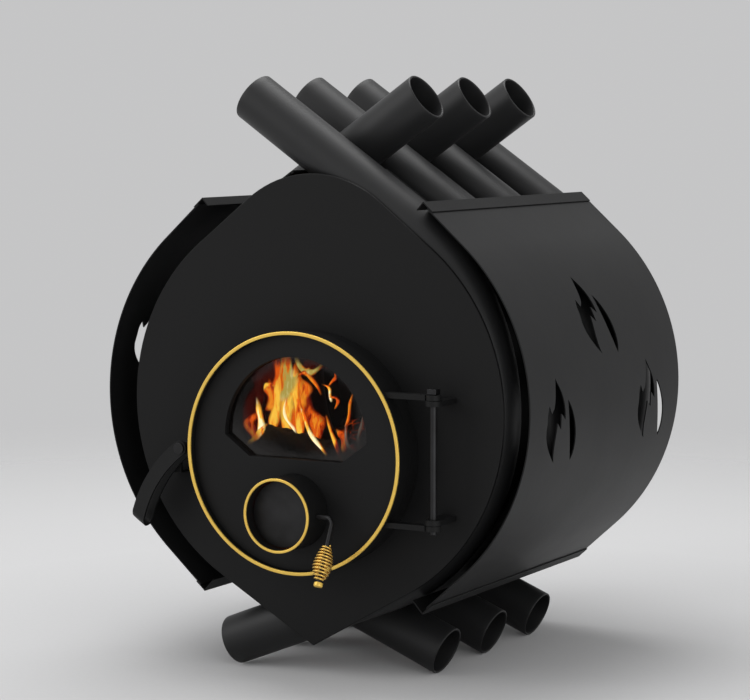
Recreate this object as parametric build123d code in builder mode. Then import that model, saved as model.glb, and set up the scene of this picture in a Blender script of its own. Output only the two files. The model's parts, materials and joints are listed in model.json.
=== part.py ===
from build123d import *
import math
import os

os.makedirs("parts", exist_ok=True)

# A drum-shaped convection wood stove. The drum is walled by bent air tubes that hook alternately over
# its right and left side, with curved panels welded between them. Room air enters the lower tube ends,
# which are also the feet, and leaves hot at the upper ones. All sizes are in millimetres.
# X runs to the right of someone facing the door, Y runs from the door to the flue, Z is up.
# The origin is on the floor under the middle of the drum.

# Air tubes. Their shape is given for a right-hand tube, from the drum's axis.
tube_d = 57.0
tube_wall = 2.5
tube_sides = 12  # flats that stand for the round section of a tube
tube_gap = 3.4  # between a tube and the next one along the drum
tube_pairs = 3  # left-hand tubes; there is one more right-hand tube
tube_reach = 212.0  # from the drum's axis to a tube's centreline, at the axis height
outlet_x = 95.0  # how far past the middle the upper end lies
outlet_rise = 347.5
outlet_slope = 34.5
foot_x = 122.5
foot_drop = 282.0
foot_slope = 22.0

# Drum
plate_t = 4.0
plate_lap = 26.0  # how far the plate's flanks stand past the tubes' centrelines
plate_spread = 7.0  # how far each flank's centre lies from the middle
crown_slope = 38.0  # slope of the plate's edge beside its top point
crown_r = 136.0
keel_slope = 30.0
keel_r = 100.0
wall_t = 3.0
baffle_t = 4.0
baffle_rise = 52.0
baffle_passage = 120.0  # smoke passage between the front plate and the baffle
injector_d = 20.0
injector_wall = 2.0
injector_len = 58.0
injector_rise = 84.0
injector_tilt = 12.0
injector_root = 6.0  # length inside the tube before its end is cut to the tube's shape

# Convection casings
case_t = 1.5
case_front = -4.7  # front edge, from the front plate's face
case_short = 15.1  # how far the rear edge stops before the drum's back
case_gap = 31.0  # from the tubes' outer side to the casing's middle surface
case_spread = 30.5
case_rise = 6.2
case_round = 48.0  # half angle of the round stretch; the rest is flat
case_flat = 60.0
trim_t = 1.5
trim_out = 9.0  # how far the trim stands past the sheet's edge
trim_lap = 7.0
trim_seat = 0.3

# Flame-shaped vents
vent_span = 126.0
vent_drop = -13.0
vent_lift = 98.0

# Door and its neck
door_drop = 46.8  # the door's centre, below the drum's axis
door_r = 136.0
door_wall = 4.0
door_front = 48.0  # how far the door's rim stands in front of the plate
door_depth = 24.0
rim_t = 2.2
face_recess = 9.0
face_t = 3.0
neck_root = 2.0  # how far the neck's root stands out past the band's bore
neck_depth = 22.0
neck_lip_out = 2.4  # from the band's bore in to the lip's outer side
neck_lip_in = 7.0  # and to its inner side
rope_w = 9.0
rope_edge = 2.2
retainer_t = 2.0
retainer_depth = 9.5
clear = 0.3

# Window
window_r = 91.0
window_rise = 16.0  # centre of its round top, above the door's centre
window_low = 7.0  # its straight lower edge, below the door's centre
window_foot = 59.0
frame_t = 3.0
frame_depth = 5.0
glass_t = 4.0
glass_lap = 7.0
clip_w = 14.0
clip_t = 2.0
clip_foot = 12.0
clip_lap = 5.0
nut_r = 4.5
nut_t = 3.5

# Air inlet in the door and its damper
inlet_r = 41.5
inlet_wall = 3.0
inlet_front = 80.5
inlet_back = 33.0
inlet_drop = 64.7  # below the door's centre
inlet_rim_t = 2.0
damper_depth = 18.5  # the damper's axle, behind the inlet's rim
damper_gap = 1.2
damper_t = 2.0
rod_r = 2.5
run_clear = 0.08
rod_tail = 5.0  # how far an axle stands out past the wall on its plain side
handle_out = 20.5  # from the inlet's outer side to the handle
handle_len = 73.0
handle_lean = 25.0
handle_bend = 6.0  # length that the bend takes from both its sides

# Coil grip on the inlet damper's handle
grip_turns = 11
grip_start = 31.0  # from the axle
grip_len = 39.0
grip_wire = 2.2
grip_sides = 4  # flats that stand for the wire's round section
grip_belly_r = 9.8
grip_end_r = 4.8
grip_belly_at = 0.6  # share of its length where it is widest
cap_r = 5.0
cap_len = 5.0

# Hinge
hinge_out = 36.0  # from the door's side to the hinge pin
hinge_depth = 36.0  # the pin's axis, in front of the plate
hinge_half = 71.0  # from the door's centre height to the middle of each arm
arm_t = 6.0
arm_w = 12.0
eye_r = 8.5
pin_r = 4.0
lug_w = 18.0
pin_head = 11.0
pin_head_t = 6.0
pin_tail = 4.0
hinge_play = 0.4

# Latch. Its handle is a flat strip bent back on itself, which turns on a pin through the door's ear.
latch_out = 15.0  # from the door's side to the latch pin
latch_drop = 4.0  # the pin, below the door's centre
latch_depth = 31.0  # the ear's middle, in front of the plate
ear_t = 13.0
ear_w = 16.0
latch_pin_r = 4.0
latch_head_r = 6.5
latch_head_t = 2.0
strap_t = 3.0
strap_w = 17.0
strap_play = 1.5
strap_len = 108.0
strap_slope = 56.4
strap_bow = 10.0  # how far the handle's middle bows outwards
hub_r = 8.0
hub_t = 7.0
tongue_t = 3.0
tongue_w = 10.0
tongue_len = 31.0
tongue_slope = 20.0
keeper_out = 23.0  # from the latch pin to the keeper's middle
keeper_w = 22.0
keeper_t = 3.0
keeper_drop = 18.0  # its lip's upper edge, below the latch pin
keeper_lip = 14.0
keeper_play = 0.5

# Flue collar and its damper. The collar's root is stouter and stops the stove pipe clear of the axle.
flue_r = 60.0
flue_wall = 2.0
flue_len = 99.5
flue_root_wall = 4.5
flue_root = 45.0
flue_rise = 125.0
flue_damper_at = 30.0
flue_handle_out = 21.5  # from the collar's root to the handle
notch_w = 26.0
notch_depth = 22.0

# Places worked out from the sizes above
tube_r = tube_d / 2
pitch = tube_d + tube_gap
tube_count = 2 * tube_pairs + 1
drum_depth = 2 * plate_t + (tube_count - 1) * pitch + tube_d
front_y = -drum_depth / 2
axis_z = foot_drop + tube_r * math.cos(math.radians(foot_slope))
door_z = axis_z - door_drop
inlet_z = door_z - inlet_drop
flue_z = axis_z + flue_rise
rear_y = -front_y
plate_r = tube_reach + plate_lap - plate_spread
case_depth = drum_depth - case_short - case_front
case_r = tube_reach + tube_r + case_gap - case_spread
neck_r = door_r - door_wall + neck_root
neck_lip_r = door_r - door_wall - neck_lip_out
neck_bore_r = door_r - door_wall - neck_lip_in
handle_x = inlet_r + handle_out
hinge_x = door_r + hinge_out
latch_x = -door_r - latch_out
keeper_x = latch_x - keeper_out
flue_root_r = flue_r - flue_wall + flue_root_wall
flue_handle_x = flue_root_r + flue_handle_out


def save(builder, name):
    """Name a finished piece and write it to its own file."""
    builder.part.label = name
    export_step(builder.part, f"parts/{name}.step")


def upright(y, z=axis_z, x=0.0):
    """An upright sketch plane seen from the front, y behind the front plate's face."""
    return Plane(origin=(x, front_y + y, z), x_dir=(1, 0, 0), z_dir=(0, -1, 0))


def turned(z, x=0.0):
    """A level sketch plane for profiles turned about an axis along Y: (radius, depth)."""
    return Plane(origin=(x, front_y, z), x_dir=(1, 0, 0), z_dir=(0, 0, 1))


def along_y(z, x=0.0):
    """The axis of such a turned piece."""
    return Axis((x, front_y, z), (0, 1, 0))


def polar(radius, angle, centre=(0.0, 0.0)):
    """A point on a circle, with the angle in degrees."""
    turn = math.radians(angle)
    return (centre[0] + radius * math.cos(turn), centre[1] + radius * math.sin(turn))


def bend(end_x, end_z, slope):
    """Centre and radius of the arc that leaves the tube's widest point upright and meets a straight
    end of the given slope. The end lies past the middle, at -end_x, and end_z from the axis."""
    lean = math.sin(math.radians(slope))
    reach_along = -lean * end_x + math.cos(math.radians(slope)) * end_z
    radius = (reach_along - lean * tube_reach) / (1 - lean)
    return tube_reach - radius, radius


def tube_y(index):
    """Depth of a tube's centreline behind the front plate's face."""
    return plate_t + tube_r + index * pitch


def tube_line(side, top_cut=0.0, foot_cut=0.0):
    """Points of a tube's centreline: end, tangent point, arc middle and so on, from the upper end down.
    The cuts shorten its straight ends back to that distance from the drum's middle plane."""
    top_x, top_r = bend(outlet_x, outlet_rise, outlet_slope)
    low_x, low_r = bend(foot_x, foot_drop, foot_slope)
    top = polar(top_r, 90 - outlet_slope, (top_x, 0))
    low = polar(low_r, foot_slope - 90, (low_x, 0))
    start = (-outlet_x, outlet_rise)
    if top_cut:
        start = (top_cut, top[1] + (top[0] - top_cut) * math.tan(math.radians(outlet_slope)))
    end = (-foot_x, -foot_drop)
    if foot_cut:
        end = (foot_cut, low[1] - (low[0] - foot_cut) * math.tan(math.radians(foot_slope)))
    top_mid = polar(top_r, (90 - outlet_slope) / 2, (top_x, 0))
    low_mid = polar(low_r, (foot_slope - 90) / 2, (low_x, 0))
    points = [start, top, top_mid, (tube_reach, 0), low_mid, low, end]
    return [(side * x, z) for x, z in points]


def draw_line(points):
    """Draw a centreline of straight, arc, arc, straight inside a line builder."""
    Line(points[0], points[1])
    ThreePointArc(points[1], points[2], points[3])
    ThreePointArc(points[3], points[4], points[5])
    Line(points[5], points[6])


def air_tube(side, index, tap=None):
    """A bent air tube, open at both ends. A tap is the bore of the injector that is welded to it."""
    y = front_y + tube_y(index)
    with BuildPart() as tube:
        for way, slope, past in ((1, outlet_slope, outlet_x), (-1, foot_slope, foot_x)):
            level = outlet_rise if way > 0 else foot_drop
            centre_x, radius = bend(past, level, slope)
            with BuildSketch(Plane.XY.offset(axis_z)):
                with Locations((side * tube_reach, y)):
                    RegularPolygon(tube_r, tube_sides)
                    RegularPolygon(tube_r - tube_wall, tube_sides, mode=Mode.SUBTRACT)
            revolve(axis=Axis((side * centre_x, y, axis_z), (0, -side * way, 0)), revolution_arc=90 - slope)
            x, z = polar(radius, 90 - slope, (centre_x, 0))
            lean = math.radians(slope)
            end = Plane(
                origin=(side * x, y, axis_z + way * z),
                x_dir=(0, 1, 0),
                z_dir=(-side * math.cos(lean), 0, way * math.sin(lean)),
            )
            with BuildSketch(end):
                RegularPolygon(tube_r, tube_sides)
                RegularPolygon(tube_r - tube_wall, tube_sides, mode=Mode.SUBTRACT)
            extrude(amount=(x + past) / math.cos(lean))
        if tap:
            with Locations(tap):
                Cylinder(injector_d / 2 - injector_wall, injector_tap_len, mode=Mode.SUBTRACT)
    return tube


# Injectors lead hot air from the two foremost tubes over the baffle. Each starts on the inner side of
# its tube at this height.
injector_tap_len = 2 * tube_wall + 12.0
top_centre_x, top_radius = bend(outlet_x, outlet_rise, outlet_slope)
injector_start = top_centre_x + math.sqrt((top_radius - tube_r) ** 2 - injector_rise**2)


def injector_frame(side, index, back=0.0):
    """A frame at an injector's root whose Z axis points up and inwards along it."""
    tilt = math.radians(injector_tilt)
    step = injector_start - clear - back * math.cos(tilt)
    return Plane(
        origin=(side * step, front_y + tube_y(index), axis_z + injector_rise + back * math.sin(tilt)),
        x_dir=(0, 1, 0),
        z_dir=(-side * math.cos(tilt), 0, math.sin(tilt)),
    )


tube_names = []
for index in range(tube_count):
    side = 1 if index % 2 == 0 else -1
    tap = injector_frame(side, index).location if index < 2 else None
    tube = air_tube(side, index, tap)
    hand = "right" if side > 0 else "left"
    name = f"air_tube_{hand}_{index // 2 + 1}"
    save(tube, name)
    tube_names.append(name)

# Curved wall panels close the drum between the tubes of one side. Each ends where it meets a tube of
# the other side.
top_cross = math.sin(math.radians(2 * outlet_slope))
foot_cross = math.sin(math.radians(2 * foot_slope))
top_stop = (tube_r + wall_t / 2 + clear) / top_cross * math.cos(math.radians(outlet_slope))
foot_stop = (tube_r + wall_t / 2 + clear) / foot_cross * math.cos(math.radians(foot_slope))


def wall_panels(side, spans):
    """The panels of one side, each from one depth to another, on the tubes' centreline surface."""
    with BuildPart() as panels:
        for panel_front, panel_back in spans:
            with BuildLine(upright((panel_front + panel_back) / 2)) as spine:
                draw_line(tube_line(side, top_stop, foot_stop))
            path = spine.wire()
            with BuildSketch(Plane(origin=path @ 0, x_dir=(0, 1, 0), z_dir=path % 0)):
                Rectangle(panel_back - panel_front - 2 * clear, wall_t)
            sweep(path=path)
    return panels


def span(first, last):
    """From behind one tube to the front of another; a missing one stands for the end plate."""
    start = plate_t if first < 0 else tube_y(first) + tube_r
    stop = drum_depth - plate_t if last >= tube_count else tube_y(last) - tube_r
    return start, stop


save(wall_panels(1, [span(i - 1, i + 1) for i in range(1, tube_count, 2)]), "wall_panels_right")
save(wall_panels(-1, [span(i - 1, i + 1) for i in range(0, tube_count, 2)]), "wall_panels_left")


def end_plate(y, hole_r, hole_rise, edge=0.0):
    """A plate that closes one end of the drum. Its outline has round flanks, straight shoulders and
    blunt points at top and bottom."""
    top = polar(plate_r, 90 - crown_slope, (plate_spread, 0))
    low = polar(plate_r, keel_slope - 90, (plate_spread, 0))
    crown = (0, top[1] + top[0] * math.tan(math.radians(crown_slope)))
    keel = (0, low[1] - low[0] * math.tan(math.radians(keel_slope)))
    with BuildPart() as plate:
        with BuildSketch(upright(y)) as outline:
            with BuildLine():
                Line(crown, top)
                ThreePointArc(top, (plate_spread + plate_r, 0), low)
                Line(low, keel)
                Line(keel, (-low[0], low[1]))
                ThreePointArc((-low[0], low[1]), (-plate_spread - plate_r, 0), (-top[0], top[1]))
                Line((-top[0], top[1]), crown)
            make_face()
            corners = outline.vertices().sort_by(Axis.Y)
            fillet(corners[-1], crown_r)
            fillet(corners[0], keel_r)
            with Locations((0, hole_rise)):
                Circle(hole_r, mode=Mode.SUBTRACT)
        extrude(amount=plate_t)
        if edge:
            chamfer(plate.faces().sort_by(Axis.Y)[0].outer_wire().edges(), edge)
    return plate


save(end_plate(plate_t, neck_bore_r, -door_drop, edge=0.8), "front_plate")
save(end_plate(drum_depth, flue_r - flue_wall, flue_rise), "rear_plate")

# The baffle lies across the drum between the tubes and stops short of the front plate.
baffle_half = top_centre_x + math.sqrt((top_radius - tube_r) ** 2 - (baffle_rise + baffle_t) ** 2) - clear
with BuildPart() as baffle_plate:
    with BuildSketch(Plane.XY.offset(axis_z + baffle_rise)):
        with Locations((0, (front_y + plate_t + baffle_passage + rear_y - plate_t - clear) / 2)):
            Rectangle(2 * baffle_half, drum_depth - 2 * plate_t - baffle_passage - clear)
    extrude(amount=baffle_t)
save(baffle_plate, "baffle_plate")

with BuildPart() as injectors:
    for side, index in ((1, 0), (-1, 1)):
        with BuildSketch(injector_frame(side, index, -injector_root)):
            Circle(injector_d / 2)
            Circle(injector_d / 2 - injector_wall, mode=Mode.SUBTRACT)
        extrude(amount=injector_len + injector_root)
    for side, index in ((1, 0), (-1, 1)):
        y = front_y + tube_y(index)
        with BuildSketch(Plane.XY.offset(axis_z)):
            with Locations((side * tube_reach, y)):
                Circle(tube_r)
        turn_axis = Axis((side * top_centre_x, y, axis_z), (0, -side, 0))
        revolve(axis=turn_axis, revolution_arc=45, mode=Mode.SUBTRACT)
save(injectors, "injectors")


def case_points(side, offset=0.0):
    """A casing's section, from its upper edge down: flat, round, flat, moved outwards by the offset."""
    radius = case_r + offset
    centre = (case_spread, case_rise)
    top = polar(radius, case_round, centre)
    low = polar(radius, -case_round, centre)
    lean = math.radians(case_round)
    flat = (-case_flat * math.sin(lean), case_flat * math.cos(lean))
    points = [
        (top[0] + flat[0], top[1] + flat[1]),
        top,
        (centre[0] + radius, centre[1]),
        low,
        (low[0] + flat[0], low[1] - flat[1]),
    ]
    return [(side * x, z) for x, z in points]


def vent_plane(side, y, rise):
    """A plane touching the casing's round stretch, its X axis to the rear and its Z axis outwards."""
    angle = math.degrees(rise / case_r)
    x, z = polar(case_r, angle, (case_spread, case_rise))
    out = polar(1, angle)
    return Plane(
        origin=(side * x, front_y + y, axis_z + z),
        x_dir=(0, 1, 0),
        z_dir=(side * out[0], 0, out[1]),
    )


def casing(side, vents):
    """One curved sheet that stands off the tubes, with its vents cut through. Each vent is two flames,
    a tall jagged one and a slim curved one behind it."""
    middle = case_front + case_depth / 2
    with BuildPart() as sheet:
        with BuildLine(upright(middle)) as spine:
            points = case_points(side)
            Line(points[0], points[1])
            ThreePointArc(points[1], points[2], points[3])
            Line(points[3], points[4])
        path = spine.wire()
        with BuildSketch(Plane(origin=path @ 0, x_dir=(0, 1, 0), z_dir=path % 0)):
            Rectangle(case_depth, case_t)
        sweep(path=path)
        for step, rise in vents:
            with BuildSketch(vent_plane(side, middle + step, rise)):
                with BuildLine():
                    Spline((-15, 48), (3, 21), (8, 0), tangents=((0.5, -1), (0, -1)))
                    Line((8, 0), (-3, 8))
                    Line((-3, 8), (-2, -10))
                    Line((-2, -10), (-12, -2))
                    Spline((-12, -2), (-15, -26), (-8, -47), tangents=((0, -1), (0.6, -1)))
                    Spline((-8, -47), (-32, -26), (-39, -2), (-34, 19), tangents=((-1, 0.8), (0.5, 1)))
                    Line((-34, 19), (-28, 10))
                    Line((-28, 10), (-22, 15))
                    Spline((-22, 15), (-19, 30), (-15, 48), tangents=((0.5, 1), (0.1, 1)))
                make_face()
                with BuildLine():
                    ThreePointArc((14, 22), (34, -4), (40, -23))
                    ThreePointArc((40, -23), (41, -38), (36, -49))
                    ThreePointArc((36, -49), (22, -18), (14, 22))
                make_face()
            extrude(amount=20, both=True, mode=Mode.SUBTRACT)
    return sheet


low_out = ((-vent_span, vent_drop), (0, vent_lift), (vent_span, vent_drop))
vent_mean = (2 * vent_drop + vent_lift) / 3
high_out = [(step, 2 * vent_mean - rise) for step, rise in low_out]
save(casing(1, low_out), "casing_right")
save(casing(-1, high_out), "casing_left")


def edge_trim(side, end):
    """An angle strip along a casing's upper (end 1) or lower (end -1) edge. Its outer leg laps the
    sheet, and its inner leg reaches in to the tubes and carries the casing."""
    lean = math.radians(case_round)
    along = (-math.sin(lean), math.cos(lean))
    inward = (-math.cos(lean), -math.sin(lean))
    edge = case_points(1, case_t / 2)[0]
    corner = (edge[0] + along[0] * trim_out, edge[1] + along[1] * trim_out - case_rise)
    tail = (edge[0] - along[0] * trim_lap, edge[1] - along[1] * trim_lap - case_rise)
    leg = trim_leg(corner, inward, end)

    def at(point, out=0.0, up=0.0):
        x = point[0] - inward[0] * out + along[0] * up
        z = point[1] - inward[1] * out + along[1] * up
        return (side * x, case_rise + end * z)

    tip = (corner[0] + inward[0] * leg, corner[1] + inward[1] * leg)
    with BuildPart() as trim:
        with BuildSketch(upright(case_front + case_depth)):
            with BuildLine():
                Polyline(
                    at(tail),
                    at(tail, out=trim_t),
                    at(corner, out=trim_t),
                    at(tip),
                    at(tip, up=-trim_t),
                    at(corner, up=-trim_t),
                    close=True,
                )
            make_face()
        extrude(amount=case_depth)
    return trim


def trim_leg(corner, inward, end):
    """Length of a trim's inner leg, up to a seat just off the tubes, or off the plate where that is met
    first."""
    if end > 0:
        shoulder = crown_slope
        slope, past, level = outlet_slope, outlet_x, outlet_rise
    else:
        shoulder = keel_slope
        slope, past, level = foot_slope, foot_x, foot_drop
    centre_x, radius = bend(past, level, slope)
    start = (corner[0], corner[1] + end * case_rise)
    to_tubes = leg_to(start, inward, centre_x, radius + tube_r + trim_seat, slope)
    to_plate = leg_to(start, inward, plate_spread, plate_r + trim_seat, shoulder)
    return min(to_tubes, to_plate)


def leg_to(start, inward, centre_x, reach, slope):
    """Distance from a point inwards to a round flank, or to the straight stretch that leaves the flank
    at the given slope."""
    dx, dz = start[0] - centre_x, start[1]
    along = dx * inward[0] + dz * inward[1]
    leg = -along - math.sqrt(along**2 - (dx**2 + dz**2 - reach**2))
    if math.degrees(math.atan2(dz + leg * inward[1], dx + leg * inward[0])) <= 90 - slope:
        return leg
    lean = math.radians(slope)
    out = (math.sin(lean), math.cos(lean))
    return (reach - dx * out[0] - dz * out[1]) / (inward[0] * out[0] + inward[1] * out[1])


for side, hand in ((1, "right"), (-1, "left")):
    save(edge_trim(side, 1), f"trim_top_{hand}")
    save(edge_trim(side, -1), f"trim_bottom_{hand}")

# Door neck: a ring welded round the plate's opening, with a thinner lip that bears on the door's rope.
face_y = -(door_front - face_recess)
face_back = face_y + face_t
lip_end = face_back + rope_w + clear
with BuildPart() as door_neck:
    with BuildSketch(turned(door_z)):
        with BuildLine():
            Polyline(
                (neck_bore_r, 0),
                (neck_r, 0),
                (neck_r, -neck_depth),
                (neck_lip_r, -neck_depth),
                (neck_lip_r, lip_end),
                (neck_bore_r, lip_end),
                close=True,
            )
        make_face()
    revolve(axis=along_y(door_z))
save(door_neck, "door_neck")


def upright_ring(z, inner_r, outer_r, y_front, y_back):
    """A ring about an axis along Y, from a front to a back depth."""
    with BuildPart() as ring:
        with BuildSketch(upright(y_back, z)):
            Circle(outer_r)
            Circle(inner_r, mode=Mode.SUBTRACT)
        extrude(amount=y_back - y_front)
    return ring


# Door: a shallow ring with a recessed round face, a bright rim and a rope seal behind the face.
band_r = door_r - door_wall
band_back = door_depth - door_front
save(upright_ring(door_z, band_r, door_r, rim_t - door_front, band_back), "door_band")
save(upright_ring(door_z, band_r, door_r, -door_front, rim_t - door_front), "door_rim_trim")

retainer_r = band_r - rope_w - 2 * clear
save(upright_ring(door_z, retainer_r - retainer_t, retainer_r, face_back, face_back + retainer_depth), "rope_retainer")

with BuildPart() as door_seal:
    with BuildSketch(turned(door_z)) as rope:
        with Locations((band_r - clear - rope_w / 2, face_back + rope_w / 2)):
            Rectangle(rope_w, rope_w)
        chamfer(rope.vertices(), rope_edge)
    revolve(axis=along_y(door_z))
save(door_seal, "door_seal")


def window_outline(grow=0.0):
    """The window's outline about the door's centre, grown outwards: round on top, with slanted lower
    corners and a straight lower edge."""
    with BuildSketch() as outline:
        with BuildLine():
            ThreePointArc((window_r, window_rise), (0, window_rise + window_r), (-window_r, window_rise))
            Polyline(
                (-window_r, window_rise),
                (-window_foot, -window_low),
                (window_foot, -window_low),
                (window_r, window_rise),
            )
        make_face()
        if grow:
            offset(amount=grow, kind=Kind.INTERSECTION, mode=Mode.REPLACE)
    return outline.sketch


with BuildPart() as door_face:
    with BuildSketch(upright(face_back, door_z)):
        Circle(band_r)
        add(window_outline(), mode=Mode.SUBTRACT)
        with Locations((0, -inlet_drop)):
            Circle(inlet_r, mode=Mode.SUBTRACT)
    extrude(amount=face_t)
save(door_face, "door_face")

with BuildPart() as window_frame:
    with BuildSketch(upright(face_back + frame_depth, door_z)):
        add(window_outline(frame_t))
        add(window_outline(), mode=Mode.SUBTRACT)
    extrude(amount=frame_depth)
save(window_frame, "window_frame")

with BuildPart() as window_glass:
    with BuildSketch(upright(face_back + frame_depth + glass_t, door_z)):
        add(window_outline(glass_lap))
    extrude(amount=glass_t)
save(window_glass, "window_glass")

# Four stepped clips hold the glass against its frame. Each foot sits on the back of the door's face
# under a nut. A clip is placed by a point on the glass's edge and the direction out of the window.
corner_lean = math.degrees(math.atan2(window_rise + window_low, window_r - window_foot))
glass_r = window_r + glass_lap
low_middle = ((window_r + window_foot) / 2, (window_rise - window_low) / 2)
low_edge = polar(glass_lap, corner_lean - 90, low_middle)
clip_places = []
for side in (1, -1):
    x, z = polar(glass_r, 14, (0, window_rise))
    clip_places.append((side * x, z, 14 if side > 0 else 166))
    clip_places.append((side * low_edge[0], low_edge[1], 90 - side * (180 - corner_lean)))

glass_back = face_back + frame_depth + glass_t


def clip_plane(x, z, angle):
    """A plane across a clip: X out of the window, Y to the rear, from the glass's edge at the face's
    back."""
    turn = math.radians(angle)
    return Plane(
        origin=(x, front_y + face_back, door_z + z),
        x_dir=(math.cos(turn), 0, math.sin(turn)),
        z_dir=(-math.sin(turn), 0, math.cos(turn)),
    )


with BuildPart() as glass_clips:
    rise = glass_back - face_back
    for place in clip_places:
        with BuildSketch(clip_plane(*place)):
            with BuildLine():
                Polyline(
                    (-clip_lap, rise),
                    (clear, rise),
                    (clear, 0),
                    (clear + clip_foot, 0),
                    (clear + clip_foot, clip_t),
                    (clear + clip_t, clip_t),
                    (clear + clip_t, rise + clip_t),
                    (-clip_lap, rise + clip_t),
                    close=True,
                )
            make_face()
        extrude(amount=clip_w / 2, both=True)
save(glass_clips, "glass_clips")

with BuildPart() as clip_nuts:
    for x, z, angle in clip_places:
        place = polar(clear + (clip_t + clip_foot) / 2, angle, (x, z))
        with BuildSketch(upright(face_back + clip_t + nut_t, door_z)):
            with Locations(place):
                RegularPolygon(nut_r, 6)
        extrude(amount=nut_t)
save(clip_nuts, "clip_nuts")

# Air inlet: a short tube through the door's face with a bright rim.
inlet_bore = inlet_r - inlet_wall
axle_y = damper_depth - inlet_front
inlet_tube = upright_ring(inlet_z, inlet_bore, inlet_r, inlet_rim_t - inlet_front, -inlet_back)
with inlet_tube:
    with Locations(Plane(origin=(0, front_y + axle_y, inlet_z), z_dir=(1, 0, 0)).location):
        Cylinder(rod_r + run_clear, 3 * inlet_r, mode=Mode.SUBTRACT)
save(inlet_tube, "inlet_tube")
save(upright_ring(inlet_z, inlet_bore, inlet_r, -inlet_front, inlet_rim_t - inlet_front), "inlet_rim_trim")

with BuildPart() as inlet_damper_disc:
    with BuildSketch(upright(axle_y - rod_r, inlet_z)):
        Circle(inlet_bore - damper_gap)
    extrude(amount=damper_t)
save(inlet_damper_disc, "inlet_damper_disc")


def handle_plane(y, z, lean):
    """The plane of a damper's rod: X along the axle, Y down its handle, which leans to the front."""
    tilt = math.radians(lean)
    return Plane(origin=(0, y, z), x_dir=(1, 0, 0), z_dir=(0, math.cos(tilt), -math.sin(tilt)))


def damper_rod(plane, start, end_x, drop):
    """A round rod that runs along the axle and turns down into the handle in two creases."""
    with BuildPart() as rod:
        with BuildLine(plane) as spine:
            Polyline(
                (start, 0),
                (end_x - handle_bend, 0),
                (end_x, handle_bend),
                (end_x, drop),
            )
        path = spine.wire()
        with BuildSketch(Plane(origin=path @ 0, z_dir=path % 0)):
            Circle(rod_r)
        sweep(path=path, transition=Transition.RIGHT)
    return rod


def handle_cap(plane, end_x, drop):
    """The round button on the end of a damper's handle."""
    with BuildPart() as cap:
        with BuildSketch(plane * Plane(origin=(end_x, drop, 0), x_dir=(1, 0, 0), z_dir=(0, 1, 0))):
            Circle(cap_r)
        extrude(amount=cap_len)
    return cap


inlet_handle = handle_plane(front_y + axle_y, inlet_z, handle_lean)
save(damper_rod(inlet_handle, -inlet_r - rod_tail, handle_x, handle_len), "inlet_damper_rod")
save(handle_cap(inlet_handle, handle_x, handle_len), "inlet_grip_cap")


def grip_point(turn):
    """A point of the coil's centreline after a number of turns, in the handle's own frame. The coil
    swells to its belly and narrows to its end."""
    share = turn / grip_turns
    root_r = rod_r + grip_wire / 2 + clear / 2
    if share < grip_belly_at:
        radius = root_r + (grip_belly_r - root_r) * math.sin(math.pi / 2 * share / grip_belly_at)
    else:
        past = (share - grip_belly_at) / (1 - grip_belly_at)
        radius = grip_end_r + (grip_belly_r - grip_end_r) * math.cos(math.pi / 2 * past)
    angle = 2 * math.pi * turn
    return Vector(radius * math.cos(angle), radius * math.sin(angle), grip_start + grip_len * share)


def biarc(first, first_way, last, last_way):
    """Two arcs that join two points and leave and reach them in the given directions."""
    chord = last - first
    both = first_way + last_way
    spread = 2 * (1 - first_way.dot(last_way))
    lean = chord.dot(both)
    reach = (math.sqrt(lean**2 + spread * chord.dot(chord)) - lean) / spread
    middle = (first + last + (first_way - last_way) * reach) * 0.5
    turned_way = (middle - first) * (1 / reach) - first_way
    return [
        Edge.make_tangent_arc(first, first_way, middle),
        Edge.make_tangent_arc(middle, turned_way.normalized(), last),
    ]


# The coil is one wire, drawn as a pair of arcs for every half turn.
coil_points = [grip_point(half / 2) for half in range(2 * grip_turns + 1)]
coil_ways = []
for half in range(2 * grip_turns + 1):
    before = grip_point(max(half / 2 - 0.01, 0))
    after = grip_point(min(half / 2 + 0.01, grip_turns))
    coil_ways.append((after - before).normalized())
coil_edges = []
for half in range(2 * grip_turns):
    coil_edges += biarc(coil_points[half], coil_ways[half], coil_points[half + 1], coil_ways[half + 1])
coil_path = Wire(coil_edges)
coil_frame = Plane(
    origin=inlet_handle.from_local_coords(Vector(handle_x, 0, 0)),
    x_dir=(1, 0, 0),
    z_dir=inlet_handle.y_dir,
)
coil_path = coil_frame.from_local_coords(coil_path)
with BuildPart() as inlet_grip_coil:
    with BuildSketch(Plane(origin=coil_path @ 0, z_dir=coil_path % 0)):
        RegularPolygon(grip_wire / 2, grip_sides)
    sweep(path=coil_path)
save(inlet_grip_coil, "inlet_grip_coil")

# The least gap between the coil's turns, measured on points along its wire
steps = 48
samples = [grip_point(k / steps) for k in range(grip_turns * steps + 1)]
least = min(
    (samples[i] - samples[j]).length - grip_wire
    for i in range(len(samples))
    for j in range(i + steps // 2, min(i + 2 * steps, len(samples)))
)
print(f"least gap between the coil's turns: {least:.2f} mm")

# Hinge: arms on the door turn on a fixed pin that two lugs hold off the plate.
hinge_y = -hinge_depth


def eye_plate(z, thick, low, high, eye, hole):
    """A level plate with an eye round the hinge pin and a tail over the given range of x and y."""
    with BuildPart() as plate:
        with BuildSketch(Plane.XY.offset(z - thick / 2)):
            with Locations(((low[0] + high[0]) / 2, front_y + (low[1] + high[1]) / 2)):
                Rectangle(high[0] - low[0], high[1] - low[1])
            with Locations((hinge_x, front_y + hinge_y)):
                Circle(eye)
                Circle(hole, mode=Mode.SUBTRACT)
        extrude(amount=thick)
    return plate


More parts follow.
